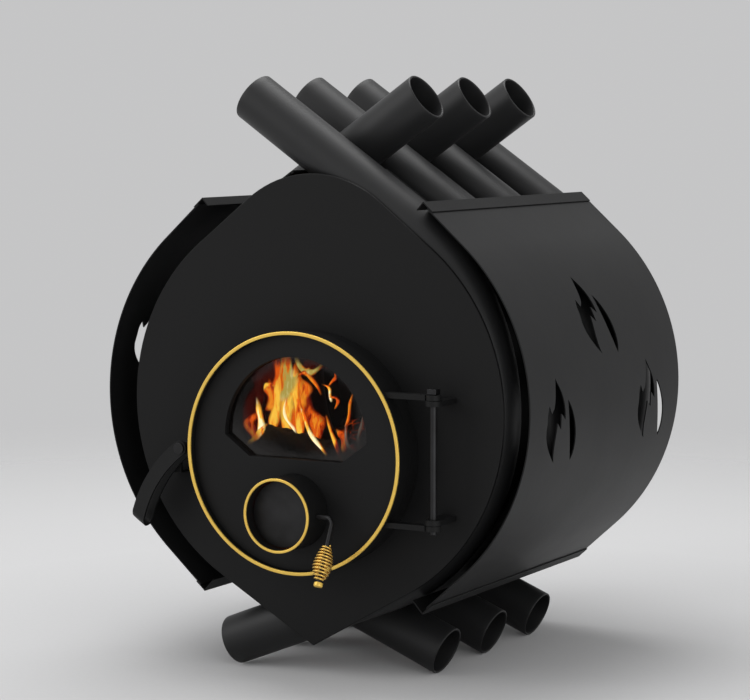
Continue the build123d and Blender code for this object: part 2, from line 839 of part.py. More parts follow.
for way, name in ((1, "hinge_arm_upper"), (-1, "hinge_arm_lower")):
    low = (door_r * 0.8, hinge_y - arm_w / 2)
    high = (hinge_x - eye_r + 1, hinge_y + arm_w / 2)
    arm = eye_plate(door_z + way * hinge_half, arm_t, low, high, eye_r, pin_r + run_clear)
    with arm:
        with Locations(Plane(origin=(0, front_y, door_z), z_dir=(0, 1, 0)).location):
            Cylinder(door_r, 3 * door_front, mode=Mode.SUBTRACT)
    save(arm, name)

with BuildPart() as hinge_lugs:
    for way in (1, -1):
        lug_z = door_z + way * (hinge_half - arm_t - hinge_play)
        with BuildSketch(Plane.XY.offset(lug_z - arm_t / 2)):
            with Locations((hinge_x, front_y + hinge_y / 2)):
                Rectangle(lug_w, hinge_depth)
            with Locations((hinge_x, front_y + hinge_y)):
                Circle(lug_w / 2)
                Circle(pin_r, mode=Mode.SUBTRACT)
        extrude(amount=arm_t)
save(hinge_lugs, "hinge_lugs")

with BuildPart() as hinge_pin:
    pin_top = door_z + hinge_half + arm_t / 2 + hinge_play
    pin_foot = door_z - hinge_half - arm_t / 2 - pin_tail
    with BuildSketch(Plane.XY.offset(pin_foot)):
        with Locations((hinge_x, front_y + hinge_y)):
            Circle(pin_r)
    extrude(amount=pin_top - pin_foot)
    with BuildSketch(Plane.XY.offset(pin_top)):
        with Locations((hinge_x, front_y + hinge_y)):
            Rectangle(pin_head, pin_head)
    extrude(amount=pin_head_t)
save(hinge_pin, "hinge_pin")

# Latch: the door's ear carries a pin, on which the strap handle and its tongue turn. The tongue passes
# behind the lip of a keeper on the plate when the handle is pushed down.
latch_z = door_z - latch_drop
ear_back = -latch_depth + ear_t / 2
ear_front = ear_back - ear_t
with BuildPart() as latch_ear:
    with BuildSketch(upright(ear_back, latch_z, latch_x)):
        Circle(ear_w / 2)
        with Locations(((-door_r * 0.9 - latch_x) / 2, 0)):
            Rectangle(-door_r * 0.9 - latch_x, ear_w)
        Circle(latch_pin_r, mode=Mode.SUBTRACT)
    extrude(amount=ear_t)
    with BuildSketch(upright(0, door_z)):
        Circle(door_r)
    extrude(amount=2 * door_front, mode=Mode.SUBTRACT)
save(latch_ear, "latch_ear")

strap_front = ear_front - strap_play - strap_t
strap_back = ear_back + strap_play + strap_t
hub_back = strap_back + hub_t
with BuildPart() as latch_pin:
    pin_front = strap_front - clear
    pin_back = hub_back + clear
    with BuildSketch(upright(pin_back, latch_z, latch_x)):
        Circle(latch_pin_r)
    extrude(amount=pin_back - pin_front)
    for head_y in (pin_front, pin_back + latch_head_t):
        with BuildSketch(upright(head_y, latch_z, latch_x)):
            Circle(latch_head_r)
        extrude(amount=latch_head_t)
save(latch_pin, "latch_pin")

# The handle is what its front view and its side view have in common: a bowed strip, and a long loop
# whose legs lie in front of and behind the ear. A hub and a flat tongue are welded to its back.
strap_angle = 180 + strap_slope
strap_turn = math.radians(strap_angle)
strap_middle = (strap_front + strap_back) / 2
strap_half = (strap_back - strap_front) / 2
strap_reach = strap_len - strap_half
with BuildPart() as latch_handle:
    loop = Plane(
        origin=(latch_x, front_y + strap_middle, latch_z),
        x_dir=(math.cos(strap_turn), 0, math.sin(strap_turn)),
        z_dir=(-math.sin(strap_turn), 0, math.cos(strap_turn)),
    )
    with BuildSketch(loop):
        with Locations((strap_reach / 2 - strap_w, 0)):
            Rectangle(strap_reach + 2 * strap_w, 2 * strap_half)
        with Locations((strap_reach, 0)):
            Circle(strap_half)
        with Locations((strap_reach / 2 - strap_w, 0)):
            Rectangle(strap_reach + 2 * strap_w, 2 * (strap_half - strap_t), mode=Mode.SUBTRACT)
        with Locations((strap_reach, 0)):
            Circle(strap_half - strap_t, mode=Mode.SUBTRACT)
    extrude(amount=3 * strap_w, both=True)
    with BuildSketch(upright(strap_back + 1, latch_z, latch_x)):
        far = polar(strap_len, strap_angle)
        bow = polar(strap_bow, strap_angle - 90, (far[0] / 2, far[1] / 2))
        SlotArc(Edge.make_three_point_arc(Vector(0, 0), Vector(*bow), Vector(*far)), strap_w)
    extrude(amount=strap_back - strap_front + 2, mode=Mode.INTERSECT)
    with BuildSketch(upright(strap_back + 1, latch_z, latch_x)):
        Circle(latch_pin_r + run_clear)
    extrude(amount=strap_back - strap_front + 2, mode=Mode.SUBTRACT)
save(latch_handle, "latch_handle")

tongue_front = hub_back - tongue_t
with BuildPart() as latch_hub:
    with BuildSketch(upright(tongue_front, latch_z, latch_x)):
        Circle(hub_r)
        Circle(latch_pin_r + run_clear, mode=Mode.SUBTRACT)
    extrude(amount=tongue_front - strap_back)
save(latch_hub, "latch_hub")

with BuildPart() as latch_tongue:
    with BuildSketch(upright(hub_back, latch_z, latch_x)):
        Circle(hub_r)
        with Locations(Location((0, 0), 180 + tongue_slope)):
            with Locations(((tongue_len - tongue_w / 2) / 2, 0)):
                Rectangle(tongue_len - tongue_w / 2, tongue_w)
            with Locations((tongue_len - tongue_w / 2, 0)):
                Circle(tongue_w / 2)
        Circle(latch_pin_r + run_clear, mode=Mode.SUBTRACT)
    extrude(amount=tongue_t)
save(latch_tongue, "latch_tongue")

with BuildPart() as latch_keeper:
    lip_back = tongue_front - keeper_play
    lip_front = lip_back - keeper_t
    lip_top = latch_z - keeper_drop
    keeper_foot = lip_top - keeper_lip
    with BuildSketch(Plane(origin=(keeper_x, front_y, 0), x_dir=(0, 1, 0), z_dir=(1, 0, 0))):
        with BuildLine():
            Polyline(
                (0, keeper_foot),
                (0, keeper_foot + keeper_t),
                (lip_back, keeper_foot + keeper_t),
                (lip_back, lip_top),
                (lip_front, lip_top),
                (lip_front, keeper_foot),
                close=True,
            )
        make_face()
    extrude(amount=keeper_w / 2, both=True)
save(latch_keeper, "latch_keeper")

# Flue collar on the rear plate, with a notched damper on an axle and the same handle.
flue_start = drum_depth
flue_axle_y = flue_start + flue_damper_at
with BuildPart() as flue_collar:
    with BuildSketch(turned(flue_z)):
        with BuildLine():
            Polyline(
                (flue_r - flue_wall, flue_start),
                (flue_root_r, flue_start),
                (flue_root_r, flue_start + flue_root),
                (flue_r, flue_start + flue_root),
                (flue_r, flue_start + flue_len),
                (flue_r - flue_wall, flue_start + flue_len),
                close=True,
            )
        make_face()
    revolve(axis=along_y(flue_z))
    with Locations(Plane(origin=(0, front_y + flue_axle_y, flue_z), z_dir=(1, 0, 0)).location):
        Cylinder(rod_r + run_clear, 3 * flue_r, mode=Mode.SUBTRACT)
save(flue_collar, "flue_collar")

with BuildPart() as flue_damper_disc:
    with BuildSketch(upright(flue_axle_y - rod_r, flue_z)):
        disc_r = flue_r - flue_wall - damper_gap
        Circle(disc_r)
        with Locations((0, disc_r)):
            SlotOverall(2 * notch_depth, notch_w, 90, mode=Mode.SUBTRACT)
    extrude(amount=damper_t)
save(flue_damper_disc, "flue_damper_disc")

flue_handle = handle_plane(front_y + flue_axle_y, flue_z, 0)
save(damper_rod(flue_handle, -flue_root_r - rod_tail, flue_handle_x, handle_len), "flue_damper_rod")
save(handle_cap(flue_handle, flue_handle_x, handle_len), "flue_grip_cap")
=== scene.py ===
# %% [markdown]
# # A drum-shaped convection wood stove
#
# Seven bent air tubes hook alternately over the right and the left side of a steel drum. A round door
# with a window, a damped air inlet and a strap latch closes its front, and two thin casings stand off
# its flanks. The CAD model is the frame: it says where every piece is and how it moves. This script
# gives those pieces their finished surfaces, in metres and in the same places.

# %% Frame
import json
import math
from contextlib import contextmanager

import bmesh
import bpy
import numpy as np
from mathutils import Matrix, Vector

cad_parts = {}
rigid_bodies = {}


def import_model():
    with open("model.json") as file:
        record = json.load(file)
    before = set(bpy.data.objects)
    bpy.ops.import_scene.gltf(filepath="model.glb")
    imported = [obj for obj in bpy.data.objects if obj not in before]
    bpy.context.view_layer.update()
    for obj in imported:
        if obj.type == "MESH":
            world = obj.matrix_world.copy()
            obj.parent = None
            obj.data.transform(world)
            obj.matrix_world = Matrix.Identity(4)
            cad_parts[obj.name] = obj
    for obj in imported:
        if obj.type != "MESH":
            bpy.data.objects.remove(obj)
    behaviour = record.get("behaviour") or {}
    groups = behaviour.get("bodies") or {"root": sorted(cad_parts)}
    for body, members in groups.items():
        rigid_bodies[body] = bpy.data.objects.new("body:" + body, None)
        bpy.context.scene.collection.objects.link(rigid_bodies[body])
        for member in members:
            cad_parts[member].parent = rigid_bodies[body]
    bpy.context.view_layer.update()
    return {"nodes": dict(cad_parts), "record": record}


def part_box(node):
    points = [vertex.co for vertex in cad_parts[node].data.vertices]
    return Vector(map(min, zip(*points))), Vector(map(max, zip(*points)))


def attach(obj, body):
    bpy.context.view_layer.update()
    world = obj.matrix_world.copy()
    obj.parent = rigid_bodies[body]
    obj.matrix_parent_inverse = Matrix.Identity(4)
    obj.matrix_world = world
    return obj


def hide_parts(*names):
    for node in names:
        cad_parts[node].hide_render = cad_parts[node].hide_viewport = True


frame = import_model()

# %% [markdown]
# ## Places and sizes
#
# Most places come from the boxes of the CAD nodes and from the joints, so that they follow the frame.
# The few sizes that a box can't tell, such as the way an air tube bends, are written here once.

# %% Places
mm = 0.001


def middle(node):
    """The centre of a CAD node's box."""
    low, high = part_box(node)
    return np.array([(a + b) / 2 for a, b in zip(low, high)])


joints = {joint["name"]: np.array(joint["pos_m"]) for joint in frame["record"]["behaviour"]["joints"]}
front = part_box("front_plate")[0].y
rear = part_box("rear_plate")[1].y
door = middle("door_band") * (1, 0, 1)
inlet = middle("inlet_tube") * (1, 0, 1)
flue = middle("flue_collar") * (1, 0, 1)
drum_rise = 46.8 * mm  # the drum's axis, above the door's centre
axis = door + (0, 0, drum_rise)
print("door centre", door, "drum axis", axis)

# A tube's end: how far past the middle it is, how far from the axis's level, and the slope of its run.
tube_r = 28.5 * mm
tube_wall = 2.5 * mm
tube_reach = 212 * mm  # from the axis to a tube's centreline, where the tube is widest
upper_end = (95 * mm, 347.5 * mm, math.radians(34.5))
lower_end = (122.5 * mm, 282 * mm, math.radians(22))

# %% [markdown]
# ## Surfaces from numbers
#
# Every new piece is a grid of points that numpy works out as whole arrays: one direction of the grid
# runs along a profile or a path, the other one round it. Three small functions cover nearly all of the
# stove: a grid becomes a mesh, a profile is turned about an axis, and a profile is carried along a path.

# %% Mesh helpers
merge_dist = 1e-6  # points of a new surface closer than this are one point
sliver = 1e-7  # edges and faces smaller than this are dropped
cad_merge_dist = 2e-6
flat_angle = math.radians(0.4)  # CAD triangles that meet at less are parts of one flat face
sharp_angle = 30.0  # degrees between faces from which an edge is a real one


def unit(vectors):
    """Vectors scaled to length one."""
    return vectors / np.linalg.norm(vectors, axis=-1, keepdims=True)


def circle(count):
    """Evenly spaced angles once round."""
    return np.linspace(0, 2 * np.pi, count, endpoint=False)


def joined(*parts):
    """Points whose coordinates are arrays or numbers that broadcast to one shape."""
    return np.stack(np.broadcast_arrays(*parts), axis=-1)


def new_piece(name, data):
    """An object for a mesh, a lamp or a camera, in the scene and at the origin."""
    piece = bpy.data.objects.new(name, data)
    bpy.context.scene.collection.objects.link(piece)
    return piece


@contextmanager
def opened(mesh):
    """A mesh as a bmesh that can be edited, which is written back at the end."""
    shell = bmesh.new()
    shell.from_mesh(mesh)
    yield shell
    shell.to_mesh(mesh)
    shell.free()


def smooth(mesh, angle=35.0):
    """Shade a mesh smoothly, with sharp edges where two faces meet at more than the angle."""
    mesh.polygons.foreach_set("use_smooth", np.ones(len(mesh.polygons), bool))
    mesh.set_sharp_from_angle(angle=math.radians(angle))
    mesh.update()


def surface(name, points, wrap=(False, True), angle=35.0, whole_uv=False):
    """A piece from a grid of points (rows, columns, xyz). Each cell of the grid is one face, wrap
    joins the last row or column to the first, and rows that shrink to a point become a pole. The UV
    map counts cells, U across the columns and V across the rows, or runs from 0 to 1 over the whole."""
    rows, columns = points.shape[:2]
    row, column = np.meshgrid(
        np.arange(rows - (not wrap[0])), np.arange(columns - (not wrap[1])), indexing="ij"
    )
    below, beside = (row + 1) % rows, (column + 1) % columns
    faces = joined(
        row * columns + column, below * columns + column, below * columns + beside, row * columns + beside
    ).reshape(-1, 4)
    steps = np.array([[0, 0], [0, 1], [1, 1], [1, 0]])
    counts = joined(column, row).reshape(-1, 1, 2) + steps
    if whole_uv:
        counts = counts / (columns - 1, rows - 1)
    mesh = bpy.data.meshes.new(name)
    mesh.from_pydata(points.reshape(-1, 3).tolist(), [], faces.tolist())
    uv = mesh.uv_layers.new(name="cells")
    uv.data.foreach_set("uv", counts.astype(np.float32).ravel())
    with opened(mesh) as shell:
        bmesh.ops.remove_doubles(shell, verts=shell.verts, dist=merge_dist)
        bmesh.ops.dissolve_degenerate(shell, edges=shell.edges, dist=sliver)
        bmesh.ops.recalc_face_normals(shell, faces=shell.faces)
    smooth(mesh, angle)
    return new_piece(name, mesh)


def eased(corners, radius, steps=4):
    """An outline with rounded corners. Each corner becomes a parabola that leaves the outline one
    radius before it and meets it again one radius after it; a radius of 0 keeps the corner."""
    corners = np.asarray(corners, float)
    radius = np.broadcast_to(radius, len(corners))[:, None]
    back = unit(np.roll(corners, 1, 0) - corners)
    ahead = unit(np.roll(corners, -1, 0) - corners)
    start = (corners + back * radius)[:, None]
    end = (corners + ahead * radius)[:, None]
    t = np.linspace(0, 1, steps + 1)[None, :, None]
    curve = (1 - t) ** 2 * start + 2 * t * (1 - t) * corners[:, None] + t**2 * end
    return curve.reshape(-1, corners.shape[1])


def turned(name, profile, centre, along=(0, 1, 0), closed=True, sides=128):
    """A profile of (radius, distance) rows turned about a line through the centre: each point is the
    centre plus the distance along the line plus the radius round it. The line isn't along X."""
    along = np.asarray(along, float)
    across = unit(np.cross(along, (1.0, 0.0, 0.0)))
    upward = np.cross(along, across)
    a = circle(sides)
    ring = np.cos(a)[:, None] * across + np.sin(a)[:, None] * upward
    profile = np.asarray(profile, float)
    points = np.asarray(centre) + profile[:, None, 1:] * along + profile[:, None, :1] * ring
    return surface(name, points, wrap=(closed, True))


def walk(path):
    """The distance along a path at each of its points."""
    steps = np.linalg.norm(np.diff(path, axis=0), axis=1)
    return np.concatenate([[0.0], np.cumsum(steps)])


def carried(name, path, profile, reference, sides=48, closed=True):
    """A profile of (radius, distance) rows carried along a path: each row is a ring about the path's
    point at that distance, square to the path. The reference direction keeps the rings from twisting."""
    marks = walk(path)
    heading = unit(np.gradient(path, marks, axis=0))
    profile = np.asarray(profile, float)
    place, way = (
        joined(*(np.interp(profile[:, 1], marks, column) for column in table.T)) for table in (path, heading)
    )
    across = unit(np.cross(reference, unit(way)))
    upward = np.cross(unit(way), across)
    a = circle(sides)[None, :, None]
    ring = np.cos(a) * across[:, None] + np.sin(a) * upward[:, None]
    return surface(name, place[:, None] + profile[:, :1, None] * ring, wrap=(closed, True))


def pipe_wall(length, outer, inner, step):
    """The closed profile of a pipe: out along its outside, round a half-round rim, back through its
    bore and round the other rim."""
    rim, mean = (outer - inner) / 2, (outer + inner) / 2
    s = np.linspace(rim, length - rim, int(length / step) + 2)
    turn = np.linspace(0, np.pi, 9)[1:-1]
    far = joined(mean + rim * np.cos(turn), length - rim + rim * np.sin(turn))
    near = joined(mean - rim * np.cos(turn), rim - rim * np.sin(turn))
    return np.concatenate([joined(outer, s), far, joined(inner, s[::-1]), near])


def rod_wall(length, radius, step, tip=0.25):
    """The open profile of a solid round rod with slightly rounded ends."""
    edge = radius * tip
    s = np.linspace(edge, length - edge, int(length / step) + 2)
    turn = np.linspace(0, np.pi / 2, 5)
    first = joined(radius - edge + edge * np.sin(turn), edge - edge * np.cos(turn))
    last = joined(first[::-1, 0], length - first[::-1, 1])
    return np.concatenate([[[0, 0]], first, joined(radius, s), last, [[0, length]]])


def refined(node, edge):
    """A finer copy of a CAD node, which is loose triangles: they are merged, flat sides become single
    faces, and its sharp edges are rounded by a bevel as wide as the edge value."""
    mesh = frame["nodes"][node].data.copy()
    mesh.materials.clear()
    with opened(mesh) as shell:
        bmesh.ops.remove_doubles(shell, verts=shell.verts, dist=cad_merge_dist)
        bmesh.ops.dissolve_limit(
            shell, angle_limit=flat_angle, verts=shell.verts, edges=shell.edges, delimit={"NORMAL"}
        )
    if "custom_normal" in mesh.attributes:
        mesh.attributes.remove(mesh.attributes["custom_normal"])
    smooth(mesh, sharp_angle)
    piece = new_piece(node + "_form", mesh)
    bevel = piece.modifiers.new("rounded_edges", "BEVEL")
    bevel.width = edge
    bevel.segments = 2
    bevel.limit_method = "ANGLE"
    bevel.angle_limit = math.radians(sharp_angle)
    bevel.harden_normals = True
    return piece


def apply(piece):
    """Make a piece's modifiers part of its mesh."""
    whole = piece.evaluated_get(bpy.context.evaluated_depsgraph_get())
    mesh = bpy.data.meshes.new_from_object(whole)
    piece.modifiers.clear()
    piece.data = mesh


# %% [markdown]
# ## Finishes as expressions
#
# A material is a small formula over the surface. The class below wraps a shader socket, so that
# `grain * 0.3 + 0.4` adds the Math nodes by itself. Any other node is made by `Finish.node`, which
# takes its type, its settings and its inputs. All patterns read Object coordinates, which are metres
# on this stove, so a scale of 900 means features of about a millimetre.

# %% Shader maths


def operator(operation, swapped=False):
    """A method of Signal that adds one Math node, with its two values swapped in a reflected form."""

    def method(self, other):
        values = (other, self) if swapped else (self, other)
        return self.finish.node("ShaderNodeMath", {"operation": operation}, values)

    return method


class Signal:
    """A shader socket that can be used in a formula."""

    def __init__(self, finish, socket):
        self.finish = finish
        self.socket = socket

    __add__, __radd__ = operator("ADD"), operator("ADD", True)
    __sub__, __rsub__ = operator("SUBTRACT"), operator("SUBTRACT", True)
    __mul__, __rmul__ = operator("MULTIPLY"), operator("MULTIPLY", True)
    __truediv__, __rtruediv__ = operator("DIVIDE"), operator("DIVIDE", True)

    def clamped(self):
        """The value held between 0 and 1."""
        return self.finish.node("ShaderNodeClamp", {}, [self])

    def other(self, name):
        """Another output of the same node, by its name or number."""
        return Signal(self.finish, self.socket.node.outputs[name])


class Finish:
    """One material, or a world, built from signals."""

    def __init__(self, name, kind="materials"):
        self.owner = getattr(bpy.data, kind).new(name)
        self.owner.use_nodes = True
        self.tree = self.owner.node_tree
        self.tree.nodes.clear()

    def node(self, kind, settings=None, inputs=()):
        """Add a node: its settings first, then its inputs as values or signals, in order or by name."""
        made = self.tree.nodes.new(kind)
        for name, value in (settings or {}).items():
            if name == "stops":
                self.set_stops(made.color_ramp, value)
            else:
                setattr(made, name, value)
        pairs = inputs.items() if isinstance(inputs, dict) else enumerate(inputs)
        for name, value in pairs:
            if isinstance(value, Signal):
                self.tree.links.new(value.socket, made.inputs[name])
            elif value is not None:
                made.inputs[name].default_value = value
        return Signal(self, made.outputs[0]) if made.outputs else made

    def set_stops(self, ramp, stops):
        """Give a colour ramp its stops, as (place, colour) pairs."""
        while len(ramp.elements) < len(stops):
            ramp.elements.new(0.5)
        for element, (place, colour) in zip(ramp.elements, stops):
            element.position = place
            element.color = (*colour, 1)

    def place(self, scale=(1, 1, 1), source="Object"):
        """Object coordinates, stretched by a scale."""
        spot = self.node("ShaderNodeTexCoord").other(source)
        return self.node("ShaderNodeMapping", {}, {"Vector": spot, "Scale": scale})

    def noise(self, scale, detail=2.0, rough=0.5, where=None):
        """Cloudy noise between 0 and 1, with a number of features per metre."""
        values = {"Vector": where or self.place(), "Scale": scale, "Detail": detail, "Roughness": rough}
        return self.node("ShaderNodeTexNoise", {}, values)

    def ramp(self, value, stops):
        """Colours picked by a value."""
        return self.node("ShaderNodeValToRGB", {"stops": stops}, [value])

    def blend(self, share, first, second):
        """A colour between two, by a share. The node has sockets of one name for each type of data, so
        those for colours are picked by number."""
        settings = {"data_type": "RGBA", "clamp_factor": True}
        mixed = self.node("ShaderNodeMix", settings, {0: share, 6: (*first, 1), 7: (*second, 1)})
        return mixed.other(2)

    def bump(self, height, distance, strength=1.0, below=None):
        """A bump from a height between 0 and 1 that stands for a distance in metres."""
        values = {"Height": height, "Distance": distance, "Strength": strength, "Normal": below}
        return self.node("ShaderNodeBump", {}, values)

    def body(self, **values):
        """The main shader. Names are its socket names with spaces as underscores."""
        inputs = {name.replace("_", " "): value for name, value in values.items()}
        return self.node("ShaderNodeBsdfPrincipled", {}, inputs)

    def show(self, shader):
        """Make a shader the material's surface."""
        self.node("ShaderNodeOutputMaterial", {}, {"Surface": shader})
        return self.owner


# %% [markdown]
# ## Paints and metals
#
# The stove's matte heat-resistant paint is a fine orange peel close up, with slight clouds where the coat
# is thicker, so its bump has grains of a millimetre and its gloss wanders a little. The casings have a
# smoother coat. The bright rims, the coils and the caps are polished brass with fine marks. An image could
# carry all this, but noise stays sharp at any distance and needs no unwrapping.

# %% Paints


def paint(name, colour, gloss, mirror, grain=0.05 * mm, lift=1.35):
    """Sprayed paint. Its clouds lift the colour by a factor, its gloss is a mean roughness, and the
    mirror value is how strongly its top layer reflects."""
    finish = Finish(name)
    clouds = finish.noise(9.0, 3.0)
    peel = finish.noise(900.0, 2.0)
    waves = finish.noise(60.0, 1.0)
    dust = finish.noise(2600.0, 1.0)
    lifted = tuple(c * lift for c in colour)
    shade = finish.blend((clouds * 0.7 + dust * 0.3).clamped(), colour, lifted)
    rough = (clouds * 0.10 + peel * 0.06 + (gloss - 0.08)).clamped()
    swell = finish.bump(waves, 0.12 * mm, 0.6)
    normal = finish.bump(peel, grain, 0.9, swell)
    return finish.show(
        finish.body(Base_Color=shade, Roughness=rough, Normal=normal, Specular_IOR_Level=mirror)
    )


stove_paint = paint("stove_paint_matte", (0.0056, 0.0056, 0.0057), 0.55, 0.20)
# The tubes have the same black paint as the rest of the stove; their colour is written about twice as light,
# which is painted light that makes them read brighter.
lightened_tube_paint = paint("tube_paint_matte", (0.0110, 0.0111, 0.0115), 0.48, 0.38)
casing_paint = paint("casing_paint_satin", (0.0068, 0.0069, 0.0071), 0.42, 0.17, grain=0.03 * mm)
handle_paint = paint("handle_paint_matte", (0.0062, 0.0062, 0.0063), 0.48, 0.24)
print("paints:", *(made.name for made in (stove_paint, lightened_tube_paint, casing_paint, handle_paint)))

# %% Metals


def metal(name, colour, worn, gloss, grain=0.01 * mm, stretch=(1, 1, 1), bare=1.0):
    """Metal whose soft clouds are worn, with short scratches along the stretched direction. Lacquer
    makes it less than fully bare."""
    finish = Finish(name)
    where = finish.place(stretch)
    marks = finish.noise(2200.0, 2.0, 0.6, where)
    clouds = finish.noise(45.0, 3.0)
    tone = finish.blend((clouds * 1.4 - 0.35).clamped(), colour, worn)
    rough = (marks * 0.14 + clouds * 0.12 + (gloss - 0.13)).clamped()
    normal = finish.bump(marks, grain, 0.5)
    return finish.show(finish.body(Base_Color=tone, Metallic=bare, Roughness=rough, Normal=normal))


drawn_out = (1, 0.2, 1)  # marks five times as long along Y as across it
brass = metal("polished_brass", (0.98, 0.66, 0.13), (0.90, 0.56, 0.10), 0.34, stretch=drawn_out, bare=0.55)
coil_brass = metal("coil_brass", (0.95, 0.64, 0.16), (0.72, 0.43, 0.09), 0.24, stretch=drawn_out, bare=0.92)
dark_steel = metal("dark_steel", (0.045, 0.045, 0.047), (0.028, 0.027, 0.026), 0.44)
damper_steel = metal("damper_steel", (0.045, 0.045, 0.046), (0.026, 0.025, 0.025), 0.50)
nut_steel = metal("plated_steel", (0.40, 0.39, 0.37), (0.22, 0.21, 0.19), 0.38)
print("metals:", *(made.name for made in (brass, coil_brass, dark_steel, damper_steel, nut_steel)))

# %% [markdown]
# Heat-resistant glass is a thin pane: mostly see-through, faintly smoked, with a mirror of its own. Soot
# greys it near its edges, outside an oval that the fire keeps clean. The door's rope is knitted glass
# fibre, whose stitches follow the surface and so read the piece's own UV cells.

# %% Glass and rope
glass = Finish("fire_glass_pane")
haze = glass.noise(14.0, 4.0)
smoke = glass.blend((haze * 1.6 - 0.4).clamped(), (0.005, 0.004, 0.004), (0.014, 0.011, 0.009))
oval_middle = door + (0, 0, 50 * mm)
per_reach = 1 / np.array((84 * mm, np.inf, 58 * mm))  # one over its half width, any depth, and half height
soot_from = 0.80  # where soot starts, as a share of the way from the oval's middle to its edge
from_middle = glass.node("ShaderNodeMapping", {}, {
    "Vector": glass.place(), "Location": -oval_middle * per_reach, "Scale": per_reach,
})
soot_way = glass.node("ShaderNodeVectorMath", {"operation": "LENGTH"}, [from_middle]).other("Value")
soot = ((soot_way - soot_from + (haze - 0.5) * 0.3) * 3.6).clamped()
veil = (haze * 0.08 + 0.04 + soot * 0.80).clamped()
fire_glass = glass.show(glass.body(Base_Color=smoke, Roughness=0.06, Alpha=veil, IOR=1.47))

knit = Finish("knitted_rope")
cells = knit.place((1, 1, 1), "UV")
stitch = knit.node(
    "ShaderNodeTexWave", {"wave_type": "BANDS", "bands_direction": "DIAGONAL"},
    {"Vector": cells, "Scale": 0.55, "Distortion": 1.2, "Detail": 1.0},
).other("Fac")
fuzz = knit.noise(3200.0, 3.0)
fibre = knit.blend((stitch * 0.6 + fuzz * 0.4).clamped(), (0.10, 0.095, 0.088), (0.40, 0.385, 0.36))
knit_normal = knit.bump(stitch * 0.7 + fuzz * 0.3, 0.7 * mm, 0.9)
rope = knit.show(knit.body(Base_Color=fibre, Roughness=0.93, Normal=knit_normal, Sheen_Weight=0.25))
print("glass and rope:", fire_glass.name, rope.name)


def fit(piece, body, material, *nodes):
    """Give a piece its material and its place on a body, and let it stand for its CAD nodes. The fire
    isn't in the CAD model, so its pieces stand for no node."""
    piece.data.materials.clear()
    piece.data.materials.append(material)
    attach(piece, body)
    if nodes:
        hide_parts(*nodes)


# %% [markdown]
# ## Air tubes
#
# Each tube is a bent pipe: a straight outlet that leans over the middle, an arc down the flank, a
# tighter arc under the drum, and a straight foot. Both arcs meet at the axis's height, where the tube is
# widest, and their radii follow from the ends. A curve with a round bevel would look much the same, but
# its mouths would be cut flat: here the bore and the rounded rims are part of the surface.

# %% Tube path


def tubes_of(hand):
    """The names of one side's tubes, from front to rear."""
    return sorted(name for name in frame["nodes"] if name.startswith(f"air_tube_{hand}"))


def bend(past, level, slope):
    """Centre and radius of the arc that leaves the widest point upright and meets a straight end."""
    reach = -math.sin(slope) * past + math.cos(slope) * level
    radius = (reach - math.sin(slope) * tube_reach) / (1 - math.sin(slope))
    return tube_reach - radius, radius


def half_path(past, level, slope, steps=40):
    """The path from a tube's end to its widest point, as (x, height) rows: a straight run and an arc."""
    centre, radius = bend(past, level, slope)
    angle = np.linspace(math.pi / 2 - slope, 0, steps)
    arc = joined(centre + radius * np.cos(angle), radius * np.sin(angle))
    end = np.array([-past, level])
    run = end + (arc[0] - end) * np.linspace(0, 1, 14, endpoint=False)[:, None]
    return np.concatenate([run, arc])


def tube_path(side, y):
    """A whole tube's centreline, from its outlet down to its foot."""
    upper = half_path(*upper_end)
    lower = half_path(*lower_end)[::-1][1:] * (1, -1)
    flat = np.concatenate([upper, lower])
    return joined(side * flat[:, 0], y, axis[2] + flat[:, 1])


# %% Tubes
for hand, side in (("right", 1), ("left", -1)):
    for name in tubes_of(hand):
        path = tube_path(side, middle(name)[1])
        length = walk(path)[-1]
        wall = pipe_wall(length, tube_r, tube_r - tube_wall, 6 * mm)
        tube = carried(name + "_form", path, wall, (0, 1, 0), sides=56)
        fit(tube, "stove", lightened_tube_paint, name)
    print(len(tubes_of(hand)), hand, "tubes, each", round(length, 3), "m long")

# %% [markdown]
# ## Plates and panels
#
# The end plates, the panels between the tubes and the small flat parts are right as they are in CAD,
# apart from their knife-sharp edges. A real edge is slightly round and catches a line of light, so each
# gets a copy with a bevel.

# %% Plates


def bevelled(names, edge, body, material):
    """Copies of CAD nodes with rounded edges, each standing for its node."""
    for name in names:
        fit(refined(name, edge), body, material, name)
    print(*names, "with edges of", edge, "m")


bevelled(("front_plate", "rear_plate"), 0.7 * mm, "stove", stove_paint)
inner_plates = ("wall_panels_right", "wall_panels_left", "baffle_plate", "injectors")
bevelled(inner_plates, 0.3 * mm, "stove", stove_paint)
trims = ("trim_top_right", "trim_top_left", "trim_bottom_right", "trim_bottom_left")
bevelled(trims, 0.5 * mm, "stove", stove_paint)

# %% [markdown]
# The panels are welded to the tubes and end plates beside them. CAD leaves a narrow gap there, so a slim
# bead is carried along the tubes' own path to close it.

# %% Weld seams
seam_r = 1.7 * mm
seam_gap = 0.15 * mm  # half of what CAD leaves between a panel and its neighbour


def seam(name, panels, side, y):
    """A weld bead at one depth, along as much of the tubes' path as the panels of that side reach."""
    low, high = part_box(panels)
    path = tube_path(side, y)
    path = path[(path[:, 2] > low.z) & (path[:, 2] < high.z)]
    bead = carried(name, path, rod_wall(walk(path)[-1], seam_r, 1.0 * mm), (0, 1, 0), sides=12)
    fit(bead, "stove", stove_paint)


